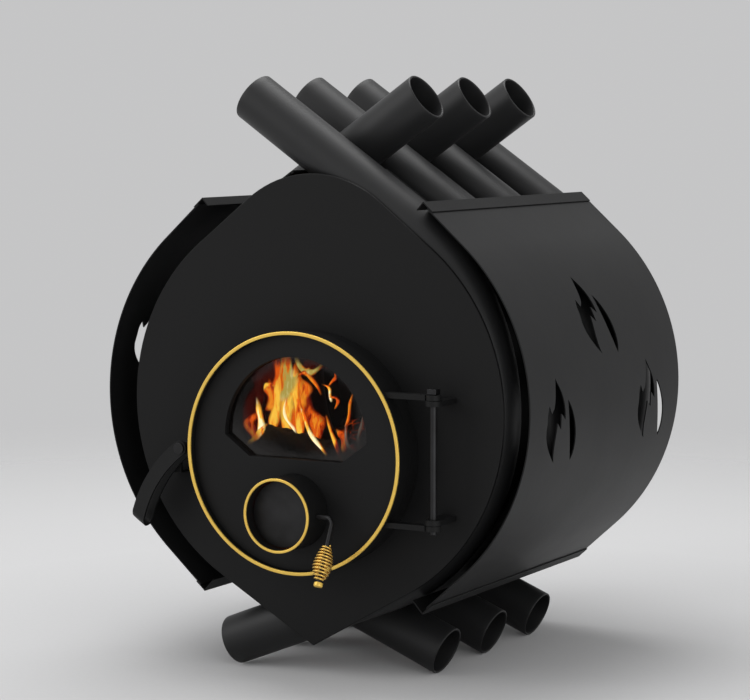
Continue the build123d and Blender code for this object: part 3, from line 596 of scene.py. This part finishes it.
plate_faces = (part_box("front_plate")[1].y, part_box("rear_plate")[0].y)
for hand, side in (("right", 1), ("left", -1)):
    depths = sorted(middle(name)[1] for name in tubes_of(hand))
    edges = [y + way * (tube_r + seam_gap) for y in depths for way in (-1, 1)]
    if hand == "right":  # its outer tubes stand beside the end plates, with no panel between
        edges = edges[1:-1]
    else:
        edges = [plate_faces[0] + seam_gap, *edges, plate_faces[1] - seam_gap]
    for number, y in enumerate(edges, 1):
        seam(f"weld_seam_{hand}_{number}", f"wall_panels_{hand}", side, y)
    print(len(edges), hand, "weld seams")

# %% [markdown]
# The hinge, the latch and the window's parts are bevelled copies too. A thick bar has wider edges than a
# thin sheet or a turned pin.

# %% Small parts
bevelled(("hinge_lugs", "latch_keeper"), 0.8 * mm, "stove", stove_paint)
bevelled(("hinge_arm_upper", "hinge_arm_lower", "latch_ear"), 0.8 * mm, "door", stove_paint)
bevelled(("door_face", "window_frame"), 0.5 * mm, "door", stove_paint)
bevelled(("glass_clips",), 0.3 * mm, "door", stove_paint)
bevelled(("clip_nuts",), 0.4 * mm, "door", nut_steel)
bevelled(("window_glass",), 0.5 * mm, "door", fire_glass)
bevelled(("hinge_pin",), 0.6 * mm, "stove", dark_steel)
bevelled(("latch_pin",), 0.5 * mm, "door", dark_steel)
bevelled(("latch_handle",), 1.1 * mm, "latch", handle_paint)
bevelled(("latch_hub", "latch_tongue"), 0.5 * mm, "latch", handle_paint)

# %% [markdown]
# ## Casings
#
# A casing is one thin sheet, rolled round the flank with a flat stretch at each edge, and cut through by
# flame-shaped vents. A fine grid keeps its long gradient of light smooth. The vents are cut by prisms
# whose outlines are drawn on a plane that touches the sheet, as a punch would cut them.

# %% Casing sheet
case_t = 1.5 * mm
case_r = 241 * mm
case_spread = 30.5 * mm  # the rolled part's centre, out from the drum's axis and above it
case_rise = 6.2 * mm
case_round = math.radians(48)  # half of the rolled part's angle
case_flat = 60 * mm


def case_section(steps=72):
    """The sheet's section from its upper to its lower edge: a straight line, an arc and a straight line
    that all touch."""
    angle = np.linspace(case_round, -case_round, steps)
    centre = np.array([case_spread, case_rise])
    out = joined(np.cos(angle), np.sin(angle))
    arc = centre + case_r * out
    lean = np.array([-math.sin(case_round), math.cos(case_round)])
    share = np.linspace(1, 0, 12, endpoint=False)[:, None]
    upper = arc[0] + share * case_flat * lean
    lower = (arc[-1] + share * case_flat * lean * (1, -1))[::-1]
    return np.concatenate([upper, arc, lower])


def case_sheet(name, side):
    """The sheet as a flat grid of quads over its middle surface: rows run down the section, columns
    from front to rear. A Solidify modifier gives it its thickness."""
    low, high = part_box(f"casing_{name}")
    section = case_section()
    points = joined(side * section[:, :1], np.linspace(low.y, high.y, 90), axis[2] + section[:, 1:])
    sheet = surface(f"sheet_{name}", points, (False, False))
    wall = sheet.modifiers.new("sheet_thickness", "SOLIDIFY")
    wall.thickness = case_t
    wall.offset = 0.0
    return sheet


# %% [markdown]
# A vent is two flames side by side: a tall jagged one and a slim curved one. Their outlines are short
# runs of cubic curves and straight lines, in millimetres about the vent's middle, and a punch is that
# outline pushed through the sheet.

# %% Vents
vent_span = 126 * mm  # from the middle vent to the outer ones
vent_drop = -13 * mm  # the outer vents' and the middle vent's height, measured along the sheet
vent_lift = 98 * mm
punch_reach = 20 * mm  # how far a punch goes past the sheet, out and in


def curve(start, first, second, end, steps=14):
    """A cubic Bezier curve between two points, without its last point."""
    t = np.linspace(0, 1, steps, endpoint=False)[:, None]
    start, first, second, end = (np.array(point, float) for point in (start, first, second, end))
    return (1 - t) ** 3 * start + 3 * t * (1 - t) ** 2 * first + 3 * t**2 * (1 - t) * second + t**3 * end


tall_flame = np.concatenate([
    curve((-15, 48), (-11, 39), (7, 30), (8, 0)),
    [(8, 0), (-3, 8), (-2, -10)],
    curve((-12, -2), (-12, -14), (-19, -30), (-8, -47)),
    curve((-8, -47), (-24, -36), (-45, -20), (-39, -2), 8),
    curve((-39, -2), (-37, 8), (-41, 8), (-34, 19), 6),
    [(-34, 19), (-28, 10)],
    curve((-22, 15), (-17, 26), (-18, 36), (-15, 48)),
]) * mm
slim_flame = np.concatenate([
    curve((14, 22), (25, 14), (38, -8), (40, -23)),
    curve((40, -23), (42, -34), (41, -42), (36, -49), 8),
    curve((36, -49), (27, -34), (17, -4), (14, 22)),
]) * mm


def punch(name, outline, side, step, rise):
    """A prism through the sheet: the outline on a plane that touches the sheet at that rise, pushed
    out and in."""
    angle = rise / case_r
    out = np.array([side * math.cos(angle), 0, math.sin(angle)])
    up = np.array([-side * math.sin(angle), 0, math.cos(angle)])
    root = np.array([side * case_spread, step, axis[2] + case_rise]) + case_r * out
    face = root + outline[:, :1] * (0, 1, 0) + outline[:, 1:] * up
    ends = np.stack([face - punch_reach * out, face + punch_reach * out])
    count = len(outline)
    mesh = bpy.data.meshes.new(name)
    corner = np.arange(count)
    after = (corner + 1) % count
    walls = joined(corner, after, after + count, corner + count).tolist()
    caps = [corner.tolist(), (corner + count)[::-1].tolist()]
    mesh.from_pydata(ends.reshape(-1, 3).tolist(), [], walls + caps)
    with opened(mesh) as shell:
        bmesh.ops.recalc_face_normals(shell, faces=shell.faces)
    return new_piece(name, mesh)


def casing(name, side, vents):
    """The sheet with its vents cut and its edges marked sharp."""
    sheet = case_sheet(name, side)
    centre = middle(f"casing_{name}")[1]
    for number, (step, rise) in enumerate(vents):
        for outline in (tall_flame, slim_flame):
            tool = punch(f"punch_{name}_{number}", outline, side, centre + step, rise)
            cut = sheet.modifiers.new("vent", "BOOLEAN")
            cut.operation = "DIFFERENCE"
            cut.solver = "EXACT"
            cut.object = tool
    apply(sheet)
    for tool in [piece for piece in bpy.data.objects if piece.name.startswith("punch_")]:
        bpy.data.objects.remove(tool, do_unlink=True)
    sheet.name = f"casing_{name}_form"
    smooth(sheet.data, 40)
    fit(sheet, "stove", casing_paint, f"casing_{name}")
    print(sheet.name, "has", len(sheet.data.polygons), "faces")


# The left side's vents are the right side's, turned upside down about their mean height.
right_vents = ((-vent_span, vent_drop), (0, vent_lift), (vent_span, vent_drop))
vent_mean = (2 * vent_drop + vent_lift) / 3
casing("right", 1, right_vents)
casing("left", -1, tuple((step, 2 * vent_mean - rise) for step, rise in right_vents))

# %% [markdown]
# ## Door rings
#
# The door is a shallow drum: a steel band with a polished rim, and behind its recessed face a channel
# for the rope that seals it against the neck. All of these are turned about the door's axis, so each is
# one profile of (radius, depth). The depths come from the CAD boxes.

# %% Rings


def ring(node, inner, outer, ease, material, centre):
    """A ring of the door about an axis along Y, between a node's front and back, with eased edges."""
    low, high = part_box(node)
    corners = [(inner, low.y), (outer, low.y), (outer, high.y), (inner, high.y)]
    fit(turned(node + "_form", eased(corners, ease), centre, sides=192), "door", material, node)


def radius_of(node):
    """Half the width of a round node."""
    low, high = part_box(node)
    return (high.x - low.x) / 2


band_wall = 4 * mm
retainer_wall = 2 * mm
inlet_wall = 3 * mm

door_r = radius_of("door_band")
band_r = door_r - band_wall
door_rim = [1.0 * mm] * 2 + [0.3 * mm] * 2  # a trim's front edges are rounder than its back ones
retainer_r = radius_of("rope_retainer")
ring("door_band", band_r, door_r, 0.5 * mm, stove_paint, door)
ring("door_rim_trim", band_r, door_r, door_rim, brass, door)
ring("rope_retainer", retainer_r - retainer_wall, retainer_r, 0.4 * mm, stove_paint, door)

inlet_r = radius_of("inlet_tube")
inlet_bore = inlet_r - inlet_wall
inlet_rim = [0.9 * mm] * 2 + [0.3 * mm] * 2
ring("inlet_tube", inlet_bore, inlet_r, 0.5 * mm, stove_paint, inlet)
ring("inlet_rim_trim", inlet_bore, inlet_r, inlet_rim, brass, inlet)
print("door radius", round(door_r, 4), "inlet radius", round(inlet_r, 4))

# %% [markdown]
# The neck that the door closes on is thicker at its root than at the lip that bears on the rope. The
# flue's collar is the other way round: its root is stouter and stops the stove pipe.

# %% Neck and collar
neck_bore = 125 * mm
neck_lip_r = 129.6 * mm
neck_step = front - 22 * mm  # where the neck's root ends and its lip begins
collar_bore = 58 * mm
collar_lip_r = 60 * mm
collar_step = rear + 45 * mm


def stepped(node, centre, bore, lip_r, depths, ease, sides):
    """A pipe whose root is as wide as the node, from the root's depth to the step and on to the lip."""
    root_r = radius_of(node)
    root, step, lip = depths
    corners = [(bore, root), (root_r, root), (root_r, step), (lip_r, step), (lip_r, lip), (bore, lip)]
    fit(turned(f"{node}_form", eased(corners, ease), centre, sides=sides), "stove", stove_paint, node)
    print(node, "root radius", round(root_r, 4))


neck_lip, neck_root = (corner.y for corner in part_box("door_neck"))
stepped("door_neck", door, neck_bore, neck_lip_r, (neck_root, neck_step, neck_lip), 0.6 * mm, 192)
collar_root, collar_lip = (corner.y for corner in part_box("flue_collar"))
stepped("flue_collar", flue, collar_bore, collar_lip_r, (collar_root, collar_step, collar_lip), 0.5 * mm, 160)

# %% [markdown]
# ## Rope seal
#
# The rope is pressed into its channel, so its section is a soft square and its surface swells a little
# between the stitches. Its UV cells run round the ring, and the knit pattern follows them.

# %% Rope
rope_inner = 122.7 * mm
stitches = 180
squareness = 3.2  # 2 is a round section, more is squarer
seal_low, seal_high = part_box("door_seal")
seal_mid = (radius_of("door_seal") + rope_inner) / 2
along = circle(720)[None, :]
about = circle(28)[:, None]
strands = [(1 + np.cos(stitches * along + way * 2 * about)) / 2 for way in (1, -1)]
swell = 1 - 0.035 * strands[0] - 0.02 * strands[1]
squared = (np.abs(np.cos(about)) ** squareness + np.abs(np.sin(about)) ** squareness) ** (-1 / squareness)
half_rope = (seal_high.y - seal_low.y) / 2
seal_r = seal_mid + half_rope * squared * swell * np.cos(about)
seal_y = (seal_low.y + seal_high.y) / 2 + half_rope * squared * swell * np.sin(about)
seal_points = joined(seal_r * np.cos(along), seal_y, door[2] + seal_r * np.sin(along))
seal = surface("door_seal_form", seal_points, (True, True))
fit(seal, "door", rope, "door_seal")
print("rope width", round(2 * half_rope, 4))

# %% [markdown]
# ## Dampers
#
# Each damper is a disc on a round rod. The rod runs across the pipe, turns down into a handle and ends
# in a brass button. Its bend is a true arc here, and the rod is one surface carried along that path.

# %% Damper parts
rod_r = 2.5 * mm
rod_past = 5 * mm  # how far the rod sticks out of the pipe, on the side without a handle
bend_r = 9 * mm
cap_r = 5 * mm
cap_t = 5 * mm
handle_drop = 73 * mm
handle_x = {"inlet": 62 * mm, "flue": 84 * mm}  # along the axle, from its middle


def handle_frame(hinge, lean):
    """The axle's point and the directions along the axle, down the handle and square to both."""
    tilt = math.radians(lean)
    along = np.array([1.0, 0, 0])
    down = np.array([0, -math.sin(tilt), -math.cos(tilt)])
    return hinge, along, down, np.cross(along, down)


def rod_path(shape, start, end_x, drop):
    """A rod's path: along the axle, round a quarter circle and down the handle."""
    root, along, down, _ = shape
    t = np.linspace(0, np.pi / 2, 20)
    arc = joined(end_x - bend_r + bend_r * np.sin(t), bend_r - bend_r * np.cos(t))
    run = joined(np.linspace(start, arc[0, 0], 30, endpoint=False), 0)
    leg = joined(end_x, np.linspace(arc[-1, 1], drop, 21)[1:])
    flat = np.concatenate([run, arc, leg])
    return root + flat[:, :1] * along + flat[:, 1:] * down


def damper(kind, lean, pipe_r):
    """A damper's rod and button. The handle leans forward by an angle."""
    body = f"{kind}_damper"
    shape = handle_frame(joints[f"{kind}_damper_turn"], lean)
    root, along, down, square = shape
    path = rod_path(shape, -pipe_r - rod_past, handle_x[kind], handle_drop)
    wall = rod_wall(walk(path)[-1], rod_r, 2 * mm)
    rod = carried(f"{kind}_rod_form", path, wall, square, sides=24, closed=False)
    fit(rod, body, dark_steel, f"{kind}_damper_rod")
    foot = root + handle_x[kind] * along + handle_drop * down
    corners = [(0, 0), (cap_r, 0), (cap_r, cap_t), (0, cap_t)]
    button = eased(corners, [0, 0.8 * mm, 1.6 * mm, 0])
    cap = turned(f"{kind}_cap_form", button, foot, down, closed=False, sides=40)
    fit(cap, body, brass, f"{kind}_grip_cap")
    return shape


inlet_shape = damper("inlet", 25, inlet_r)
flue_shape = damper("flue", 0, radius_of("flue_collar"))

# %% Damper discs
disc_low, disc_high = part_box("inlet_damper_disc")
disc_r = radius_of("inlet_damper_disc")
disc = [(0, disc_low.y), (disc_r, disc_low.y), (disc_r, disc_high.y), (0, disc_high.y)]
disc_form = turned("inlet_disc_form", eased(disc, [0, 0.5 * mm, 0.5 * mm, 0]), inlet, closed=False)
fit(disc_form, "inlet_damper", damper_steel, "inlet_damper_disc")
bevelled(("flue_damper_disc",), 0.4 * mm, "flue_damper", damper_steel)

# %% [markdown]
# ## Coil grips
#
# A coil of brass wire keeps the handle cool. It hugs the rod at its start, swells to a belly and narrows
# to the button. Its wire is a circle carried along a helix whose radius follows a sine up to the belly
# and a cosine after it.

# %% Coils
grip_turns = 11
grip_start = 31 * mm  # from the axle to the coil's first turn
grip_len = 39 * mm
grip_wire = 1.1 * mm  # the wire's own radius
grip_belly = 9.8 * mm
grip_end = 4.8 * mm
grip_root = rod_r + grip_wire + 0.15 * mm
belly_at = 0.6  # the share of the coil's length at which it is widest


def coil(name, shape, end_x, steps=36):
    """A wire that winds round a handle, once per turn."""
    root, along, down, across = shape
    turn = np.linspace(0, grip_turns, grip_turns * steps + 1)
    share = turn / grip_turns
    rising = grip_root + (grip_belly - grip_root) * np.sin(np.pi / 2 * np.clip(share / belly_at, 0, 1))
    past = np.clip((share - belly_at) / (1 - belly_at), 0, 1)
    falling = grip_end + (grip_belly - grip_end) * np.cos(np.pi / 2 * past)
    radius = np.where(share < belly_at, rising, falling)[:, None]
    angle = (2 * np.pi * turn)[:, None]
    round_it = radius * (np.cos(angle) * along + np.sin(angle) * across)
    path = root + end_x * along + round_it + (grip_start + grip_len * share)[:, None] * down
    wall = rod_wall(walk(path)[-1], grip_wire, 0.9 * mm, 0.5)
    return carried(name, path, wall, down, sides=12, closed=False)


inlet_coil = coil("inlet_coil_form", inlet_shape, handle_x["inlet"])
fit(inlet_coil, "inlet_damper", coil_brass, "inlet_grip_coil")
flue_coil = coil("flue_coil_form", flue_shape, handle_x["flue"])  # CAD has no node for this one
fit(flue_coil, "flue_damper", coil_brass)
print("coils of", grip_turns, "turns")

# %% [markdown]
# ## Fire
#
# The photograph is taken with the stove burning. Split logs lie across each other on a bed of embers, and
# flames rise behind the window. Logs are rough bars whose radius is a sum of waves round and along them.
# Flames are thin upright sheets that glow and fade out at their edges.

# %% Burnt wood and embers


def burnt(name, strength):
    """Charred wood: black bark, split by cracks that glow by a strength where it is hot."""
    char = Finish(name)
    bark = char.noise(55.0, 6.0, 0.65)
    splits = {"Vector": char.place(), "Scale": 70.0}
    cracks = char.node("ShaderNodeTexVoronoi", {"feature": "DISTANCE_TO_EDGE"}, splits)
    patches = char.noise(26.0, 2.0)
    glow = (1 - cracks * 12).clamped() * ((bark - 0.45) * 5).clamped() * ((patches - 0.50) * 8).clamped()
    tone = char.blend(bark, (0.003, 0.0025, 0.002), (0.014, 0.010, 0.008))
    heat = char.ramp(glow, [(0.0, (0, 0, 0)), (0.45, (0.35, 0.03, 0.0)), (1.0, (1.0, 0.28, 0.04))])
    normal = char.bump(bark * 0.6 + cracks * 2.0, 2.5 * mm, 0.9)
    return char.show(char.body(
        Base_Color=tone, Roughness=0.95, Normal=normal, Emission_Color=heat, Emission_Strength=strength,
    ))


cold_log = burnt("charred_log", 0.03)
hot_log = burnt("glowing_log", 0.9)

coal = Finish("embers")
lump = coal.node("ShaderNodeTexVoronoi", {}, {"Vector": coal.place(), "Scale": 75.0})
heat = coal.noise(28.0, 4.0)
coal_glow = (heat * 2.4 - 0.9 - lump * 0.6).clamped()
coal_stops = [(0.0, (0.004, 0.001, 0.001)), (0.4, (0.45, 0.03, 0.004)), (1.0, (1.0, 0.35, 0.06))]
coal_tone = coal.ramp(coal_glow, coal_stops)
coal_normal = coal.bump(1 - lump, 4 * mm, 1.0)
embers = coal.show(coal.body(
    Base_Color=(0.03, 0.026, 0.024, 1), Roughness=0.95, Normal=coal_normal, Emission_Color=coal_tone,
    Emission_Strength=2.0,
))
print("burnt:", cold_log.name, hot_log.name, embers.name)

# %% Flame materials


def flame_material(name, tones, strength, ragged):
    """A glowing sheet whose UV runs from its foot to its tip and from one edge to the other. Its
    tones follow the height and the distance from its middle, and wavering noise eats the edges."""
    finish = Finish(name)
    parts = finish.node("ShaderNodeSeparateXYZ", {}, [finish.node("ShaderNodeTexCoord").other("UV")])
    across, up = parts, parts.other("Y")
    drift = finish.noise(70.0, 4.0, 0.62, finish.place((1, 1, 0.26)))
    lick = finish.noise(210.0, 3.0, 0.6, finish.place((1, 1, 0.16)))
    off = across * 2 - 1
    edge = off * off
    ends = (up * 7).clamped() * ((1 - up) * 3.5).clamped()
    fill = ((1 - edge) * 1.35 + (drift - 0.5) * ragged + (lick - 0.5) * 1.2 - 0.24).clamped() * ends
    warmth = (up * 0.34 + edge * 0.75 + (drift - 0.5) * 3.0 + (lick - 0.5) * 2.2 + 0.04).clamped()
    tone = finish.ramp(warmth, [(k / (len(tones) - 1), colour) for k, colour in enumerate(tones)])
    return finish.show(finish.body(
        Base_Color=(0, 0, 0, 1), Specular_IOR_Level=0.0, Emission_Color=tone, Emission_Strength=strength,
        Alpha=(fill * 1.15).clamped(),
    ))


white_hot = (1.0, 0.86, 0.50)
yellow = (1.0, 0.56, 0.06)
amber = (0.95, 0.30, 0.018)
orange = (0.80, 0.11, 0.006)
red = (0.26, 0.012, 0.003)
dull_red = (0.10, 0.004, 0.003)
olive = (0.60, 0.46, 0.10)
pale_olive = (0.78, 0.66, 0.24)
pale_ash = (0.42, 0.34, 0.26)
tall_fire = flame_material("tall_flame", (yellow, yellow, amber, orange, red), 1.1, 1.6)
top_fire = flame_material("top_flame", (pale_olive, olive, olive, amber, orange), 0.80, 2.2)
deep_fire = flame_material("deep_flame", (amber, orange, orange, red, red), 0.95, 1.8)
white_fire = flame_material("white_flame", (white_hot, white_hot, yellow, amber, orange), 1.3, 1.1)
thin_fire = flame_material("thin_flame", (pale_ash, pale_ash, orange, red), 0.6, 0.8)
glow_fire = flame_material("glow_flame", (red, red, dull_red), 0.16, 4.2)
fires = (tall_fire, top_fire, deep_fire, white_fire, thin_fire, glow_fire)
print("flames:", *(made.name for made in fires))

# %% Logs


def log(name, start, end, radius, material, lobes, phase):
    """A split log between two points, with a few lobes round it. Its ends close to a point."""
    start, end = np.array(start), np.array(end)
    along = unit(end - start)
    across = unit(np.cross(along, (0, 0, 1)))
    upward = np.cross(across, along)
    s = np.linspace(0, 1, 70)[:, None]
    angle = circle(64)[None, :]
    swell = 1 + 0.10 * np.cos(lobes * angle + phase) + 0.05 * np.sin(5 * angle + 9 * s + phase)
    ripple = 0.03 * np.sin(23 * s + 3 * angle + phase) + 0.02 * np.sin(61 * s + 7 * angle)
    blunt = np.sqrt(np.clip(1 - np.clip((np.abs(s - 0.5) - 0.47) / 0.03, 0, 1) ** 2, 0, 1))
    size = radius * (swell + ripple) * blunt
    spine = start + s[..., None] * (end - start)
    rings = size[..., None] * (np.cos(angle)[..., None] * across + np.sin(angle)[..., None] * upward)
    piece = surface(name, spine + rings, angle=60)
    fit(piece, "stove", material)


def spot(x, depth, rise):
    """A point in millimetres right of the middle, behind the front plate's face and above the axis."""
    return np.array([x * mm, front + depth * mm, axis[2] + rise * mm])


log("log_top", spot(-110, 66, -46), spot(-12, 62, -62), 15 * mm, cold_log, 3, 0.4)
log("log_middle_left", spot(-96, 74, -112), spot(-30, 300, -98), 35 * mm, embers, 4, 1.9)
log("log_middle_right", spot(88, 60, -122), spot(20, 290, -100), 33 * mm, hot_log, 3, 3.1)
log("log_back", spot(-110, 250, -72), spot(90, 230, -76), 25 * mm, hot_log, 4, 5.0)
print("4 logs")

# %% [markdown]
# The bed is a flattened dome. Its width and depth follow a power of the cosine of the height angle, and
# sums of waves make its upper side lumpy.

# %% Ember bed
bed_width = 116  # half of it, in millimetres like the rest of this cell
bed_length = 185
bed_height = 20
bed_depth = 205  # its middle, behind the front plate's face
bed_level = -162
round_bed = circle(160)[None, :]
over_bed = np.linspace(np.pi / 2, -np.pi / 2, 60)[:, None]
spread = np.cos(over_bed) ** 0.45
bed_x = spread * np.cos(round_bed)
bed_y = spread * np.sin(round_bed)
lumps = 5 * np.sin(17 * bed_x + 3) * np.sin(19 * bed_y) + 3 * np.sin(41 * bed_x)
bed_z = bed_level + bed_height * np.sin(over_bed) + lumps * np.clip(np.sin(over_bed), 0, 1)
bed = joined(bed_width * bed_x * mm, front + (bed_depth + bed_length * bed_y) * mm, axis[2] + bed_z * mm)
fit(surface("ember_bed", bed, angle=80), "stove", embers)
print("ember bed of", bed.shape[0] * bed.shape[1], "points")

# %% [markdown]
# Each flame is a ribbon: its middle line is a quadratic curve from its foot over a bend to its tip, and
# its half width grows to a belly and shrinks to nothing. The ribbons stand one behind the other, and the
# places are millimetres to the right of the middle and above the drum's axis.

# %% Flames
first_row = 50  # the depth at which a flame's places are meant as they are written
back_drift = 0.55  # how far to the left the fire goes for each millimetre that it goes back


def flame(number, depth, foot, turn, tip, half, material):
    """One tongue of fire, which bows backwards at its edges and throws no shadow."""
    t = np.linspace(0, 1, 40)[:, None, None]
    across = np.linspace(-1, 1, 17)[None, :, None]
    foot, turn, tip = (np.array(point, float) for point in (foot, turn, tip))
    line = (1 - t) ** 2 * foot + 2 * t * (1 - t) * turn + t**2 * tip
    way = 2 * (1 - t) * (turn - foot) + 2 * t * (tip - turn)
    normal = unit(way)[..., ::-1] * (1, -1)
    width = half * np.sin(np.pi * (0.12 + 0.86 * t)) ** 0.8 * (1 + 0.18 * np.sin(13 * t + 3 * number))
    waver = 0.30 * half * np.sin(8 * t + number)
    flat = line + normal * (across * width + waver)
    deep = depth + 4 * across**2 + 3 * np.sin(5 * t + 2 * number)
    x = flat[..., 0] - back_drift * (depth - first_row)
    points = joined(x * mm, front + deep[..., 0] * mm, axis[2] + flat[..., 1] * mm)
    ribbon = surface(f"flame_{number}", points, (False, False), 180, whole_uv=True)
    ribbon.visible_shadow = False
    fit(ribbon, "stove", material)


flames = [
    (180, (-80, -60), (-84, 0), (-66, 50), 44, glow_fire),
    (185, (8, 4), (24, 26), (0, 62), 30, glow_fire),
    (96, (-104, -56), (-126, -20), (-104, 22), 16, glow_fire),
    (84, (-80, -34), (-84, 14), (-76, 58), 12, deep_fire),
    (82, (-50, -50), (-52, 0), (-48, 46), 15, deep_fire),
    (80, (-22, -52), (-28, -24), (-44, 2), 13, deep_fire),
    (78, (-92, -18), (-84, 2), (-91, 20), 10, deep_fire),
    (76, (-114, -56), (-120, -34), (-104, -16), 9, deep_fire),
    (78, (-38, 26), (-30, 42), (-18, 54), 12, glow_fire),
    (72, (-60, -56), (-70, 0), (-64, 50), 12, tall_fire),
    (68, (-84, -44), (-84, -10), (-68, 30), 9, tall_fire),
    (66, (-66, -6), (-62, 26), (-65, 64), 14, top_fire),
    (64, (-46, -60), (-56, 0), (-54, 42), 7, tall_fire),
    (62, (-54, 50), (-38, 12), (-15, 48), 5.5, top_fire),
    (60, (-20, 6), (-34, 46), (-54, 22), 3.2, deep_fire),
    (58, (-42, -8), (-36, 10), (-46, 26), 8, deep_fire),
    (60, (-96, 8), (-94, 22), (-78, 12), 3.5, tall_fire),
    (44, (-118, -56), (-104, -42), (-90, -28), 4.5, tall_fire),
    (46, (-102, -48), (-98, -28), (-106, 2), 6, white_fire),
    (46, (-51, -38), (-74, -24), (-63, 4), 2.6, white_fire),
    (44, (-13, -62), (-34, -32), (-50, -2), 3.4, white_fire),
    (56, (-4, 0), (-6, 14), (-18, 20), 2.2, white_fire),
    (56, (-1, -8), (6, 6), (-8, 7), 2.4, deep_fire),
    (60, (11, -62), (13, -34), (0, -30), 6, deep_fire),
    (50, (12, -68), (-8, -38), (-13, -14), 3, tall_fire),
    (58, (13, -28), (15, -8), (26, 16), 2.6, deep_fire),
    (58, (30, -64), (13, -50), (13, -20), 2.8, thin_fire),
    (60, (37, -60), (25, -36), (36, -10), 2.6, thin_fire),
    (62, (-8, 18), (-3, 26), (2, 36), 2.4, deep_fire),
]
for number, row in enumerate(flames):
    flame(number, *row)
print(len(flames), "flames")

# %% [markdown]
# ## Floor, light and camera
#
# The floor is pale and plain. It fades out with distance into the even grey that the camera sees behind
# it, so no horizon shows. Large soft lamps stand for a studio's, and the camera is where the photograph
# was taken from, which was worked out from the stove's known shapes.

# %% Floor and background
backdrop = (0.56, 0.56, 0.565)
floor_half = 3.2
fade_from = 0.75  # how far from the origin the floor starts to fade, and over what distance
fade_over = 1.5
grid = np.linspace(-floor_half, floor_half, 24)
floor = surface("studio_floor", joined(grid[:, None], grid, -0.2 * mm), (False, False))
ground = Finish("pale_floor")
level = ground.place((1, 1, 0))
far_off = ground.node("ShaderNodeVectorMath", {"operation": "LENGTH"}, [level]).other("Value")
fade = ((far_off - fade_from) / fade_over).clamped()
speck = ground.noise(180.0, 2.0)
ground_tone = ground.blend(speck, (0.60, 0.60, 0.605), (0.63, 0.63, 0.635))
diffuse = ground.node("ShaderNodeBsdfDiffuse", {}, {"Color": ground_tone, "Roughness": 0.6})
see_through = ground.node("ShaderNodeBsdfTransparent")
ground.show(ground.node("ShaderNodeMixShader", {}, [fade, diffuse, see_through]))
floor.data.materials.append(ground.owner)

sky = Finish("studio", "worlds")
bpy.context.scene.world = sky.owner
rays = sky.node("ShaderNodeLightPath")
looking = rays.other("Is Camera Ray") + rays.other("Is Glossy Ray")
seen = (looking + rays.other("Is Transmission Ray")).clamped()
plain = sky.node("ShaderNodeBackground", {}, {"Color": (*backdrop, 1), "Strength": 1.0})
dim = sky.node("ShaderNodeBackground", {}, {"Color": (1, 1, 1, 1), "Strength": 0.60})
whole = sky.node("ShaderNodeMixShader", {}, [seen, dim, plain])
sky.node("ShaderNodeOutputWorld", {}, {"Surface": whole})
print("floor", floor.name, "and world", sky.owner.name)

# %% Lamps
lamp_target = np.array((0, 0, 0.34))


def lamp(name, place, size, power):
    """A square soft lamp that looks at the stove. The size is in metres and the power in watts."""
    light = bpy.data.lights.new(name, "AREA")
    light.shape = "SQUARE"
    light.size = size
    light.energy = power
    holder = new_piece(name, light)
    back = unit(np.array(place) - lamp_target)
    across = unit(np.cross((0, 0, 1), back))
    upward = np.cross(back, across)
    rows = [[across[k], upward[k], back[k], place[k]] for k in range(3)]
    holder.matrix_world = Matrix(rows + [[0, 0, 0, 1]])
    print("lamp", name, power, "W")


lamp("overhead", (-0.45, 0.4, 2.6), 1.8, 47)
lamp("left_front", (-2.2, -2.2, 1.9), 2.2, 25)
lamp("right_low", (1.9, -1.5, 0.25), 1.2, 9)

# %% Camera
look_down = 5.34  # degrees below the level, and degrees from straight ahead
look_aside = 28.96
lens = bpy.data.cameras.new("camera")
lens.sensor_width = 36
lens.lens = 119.76
camera = new_piece("camera", lens)
camera.location = (1.4060, -2.6095, 0.6329)
camera.rotation_euler = (math.radians(90 - look_down), 0, math.radians(look_aside))
bpy.context.scene.camera = camera
bpy.context.scene.view_settings.view_transform = "Standard"
print("camera", round(1000 * np.linalg.norm(camera.location)), "mm from the origin")
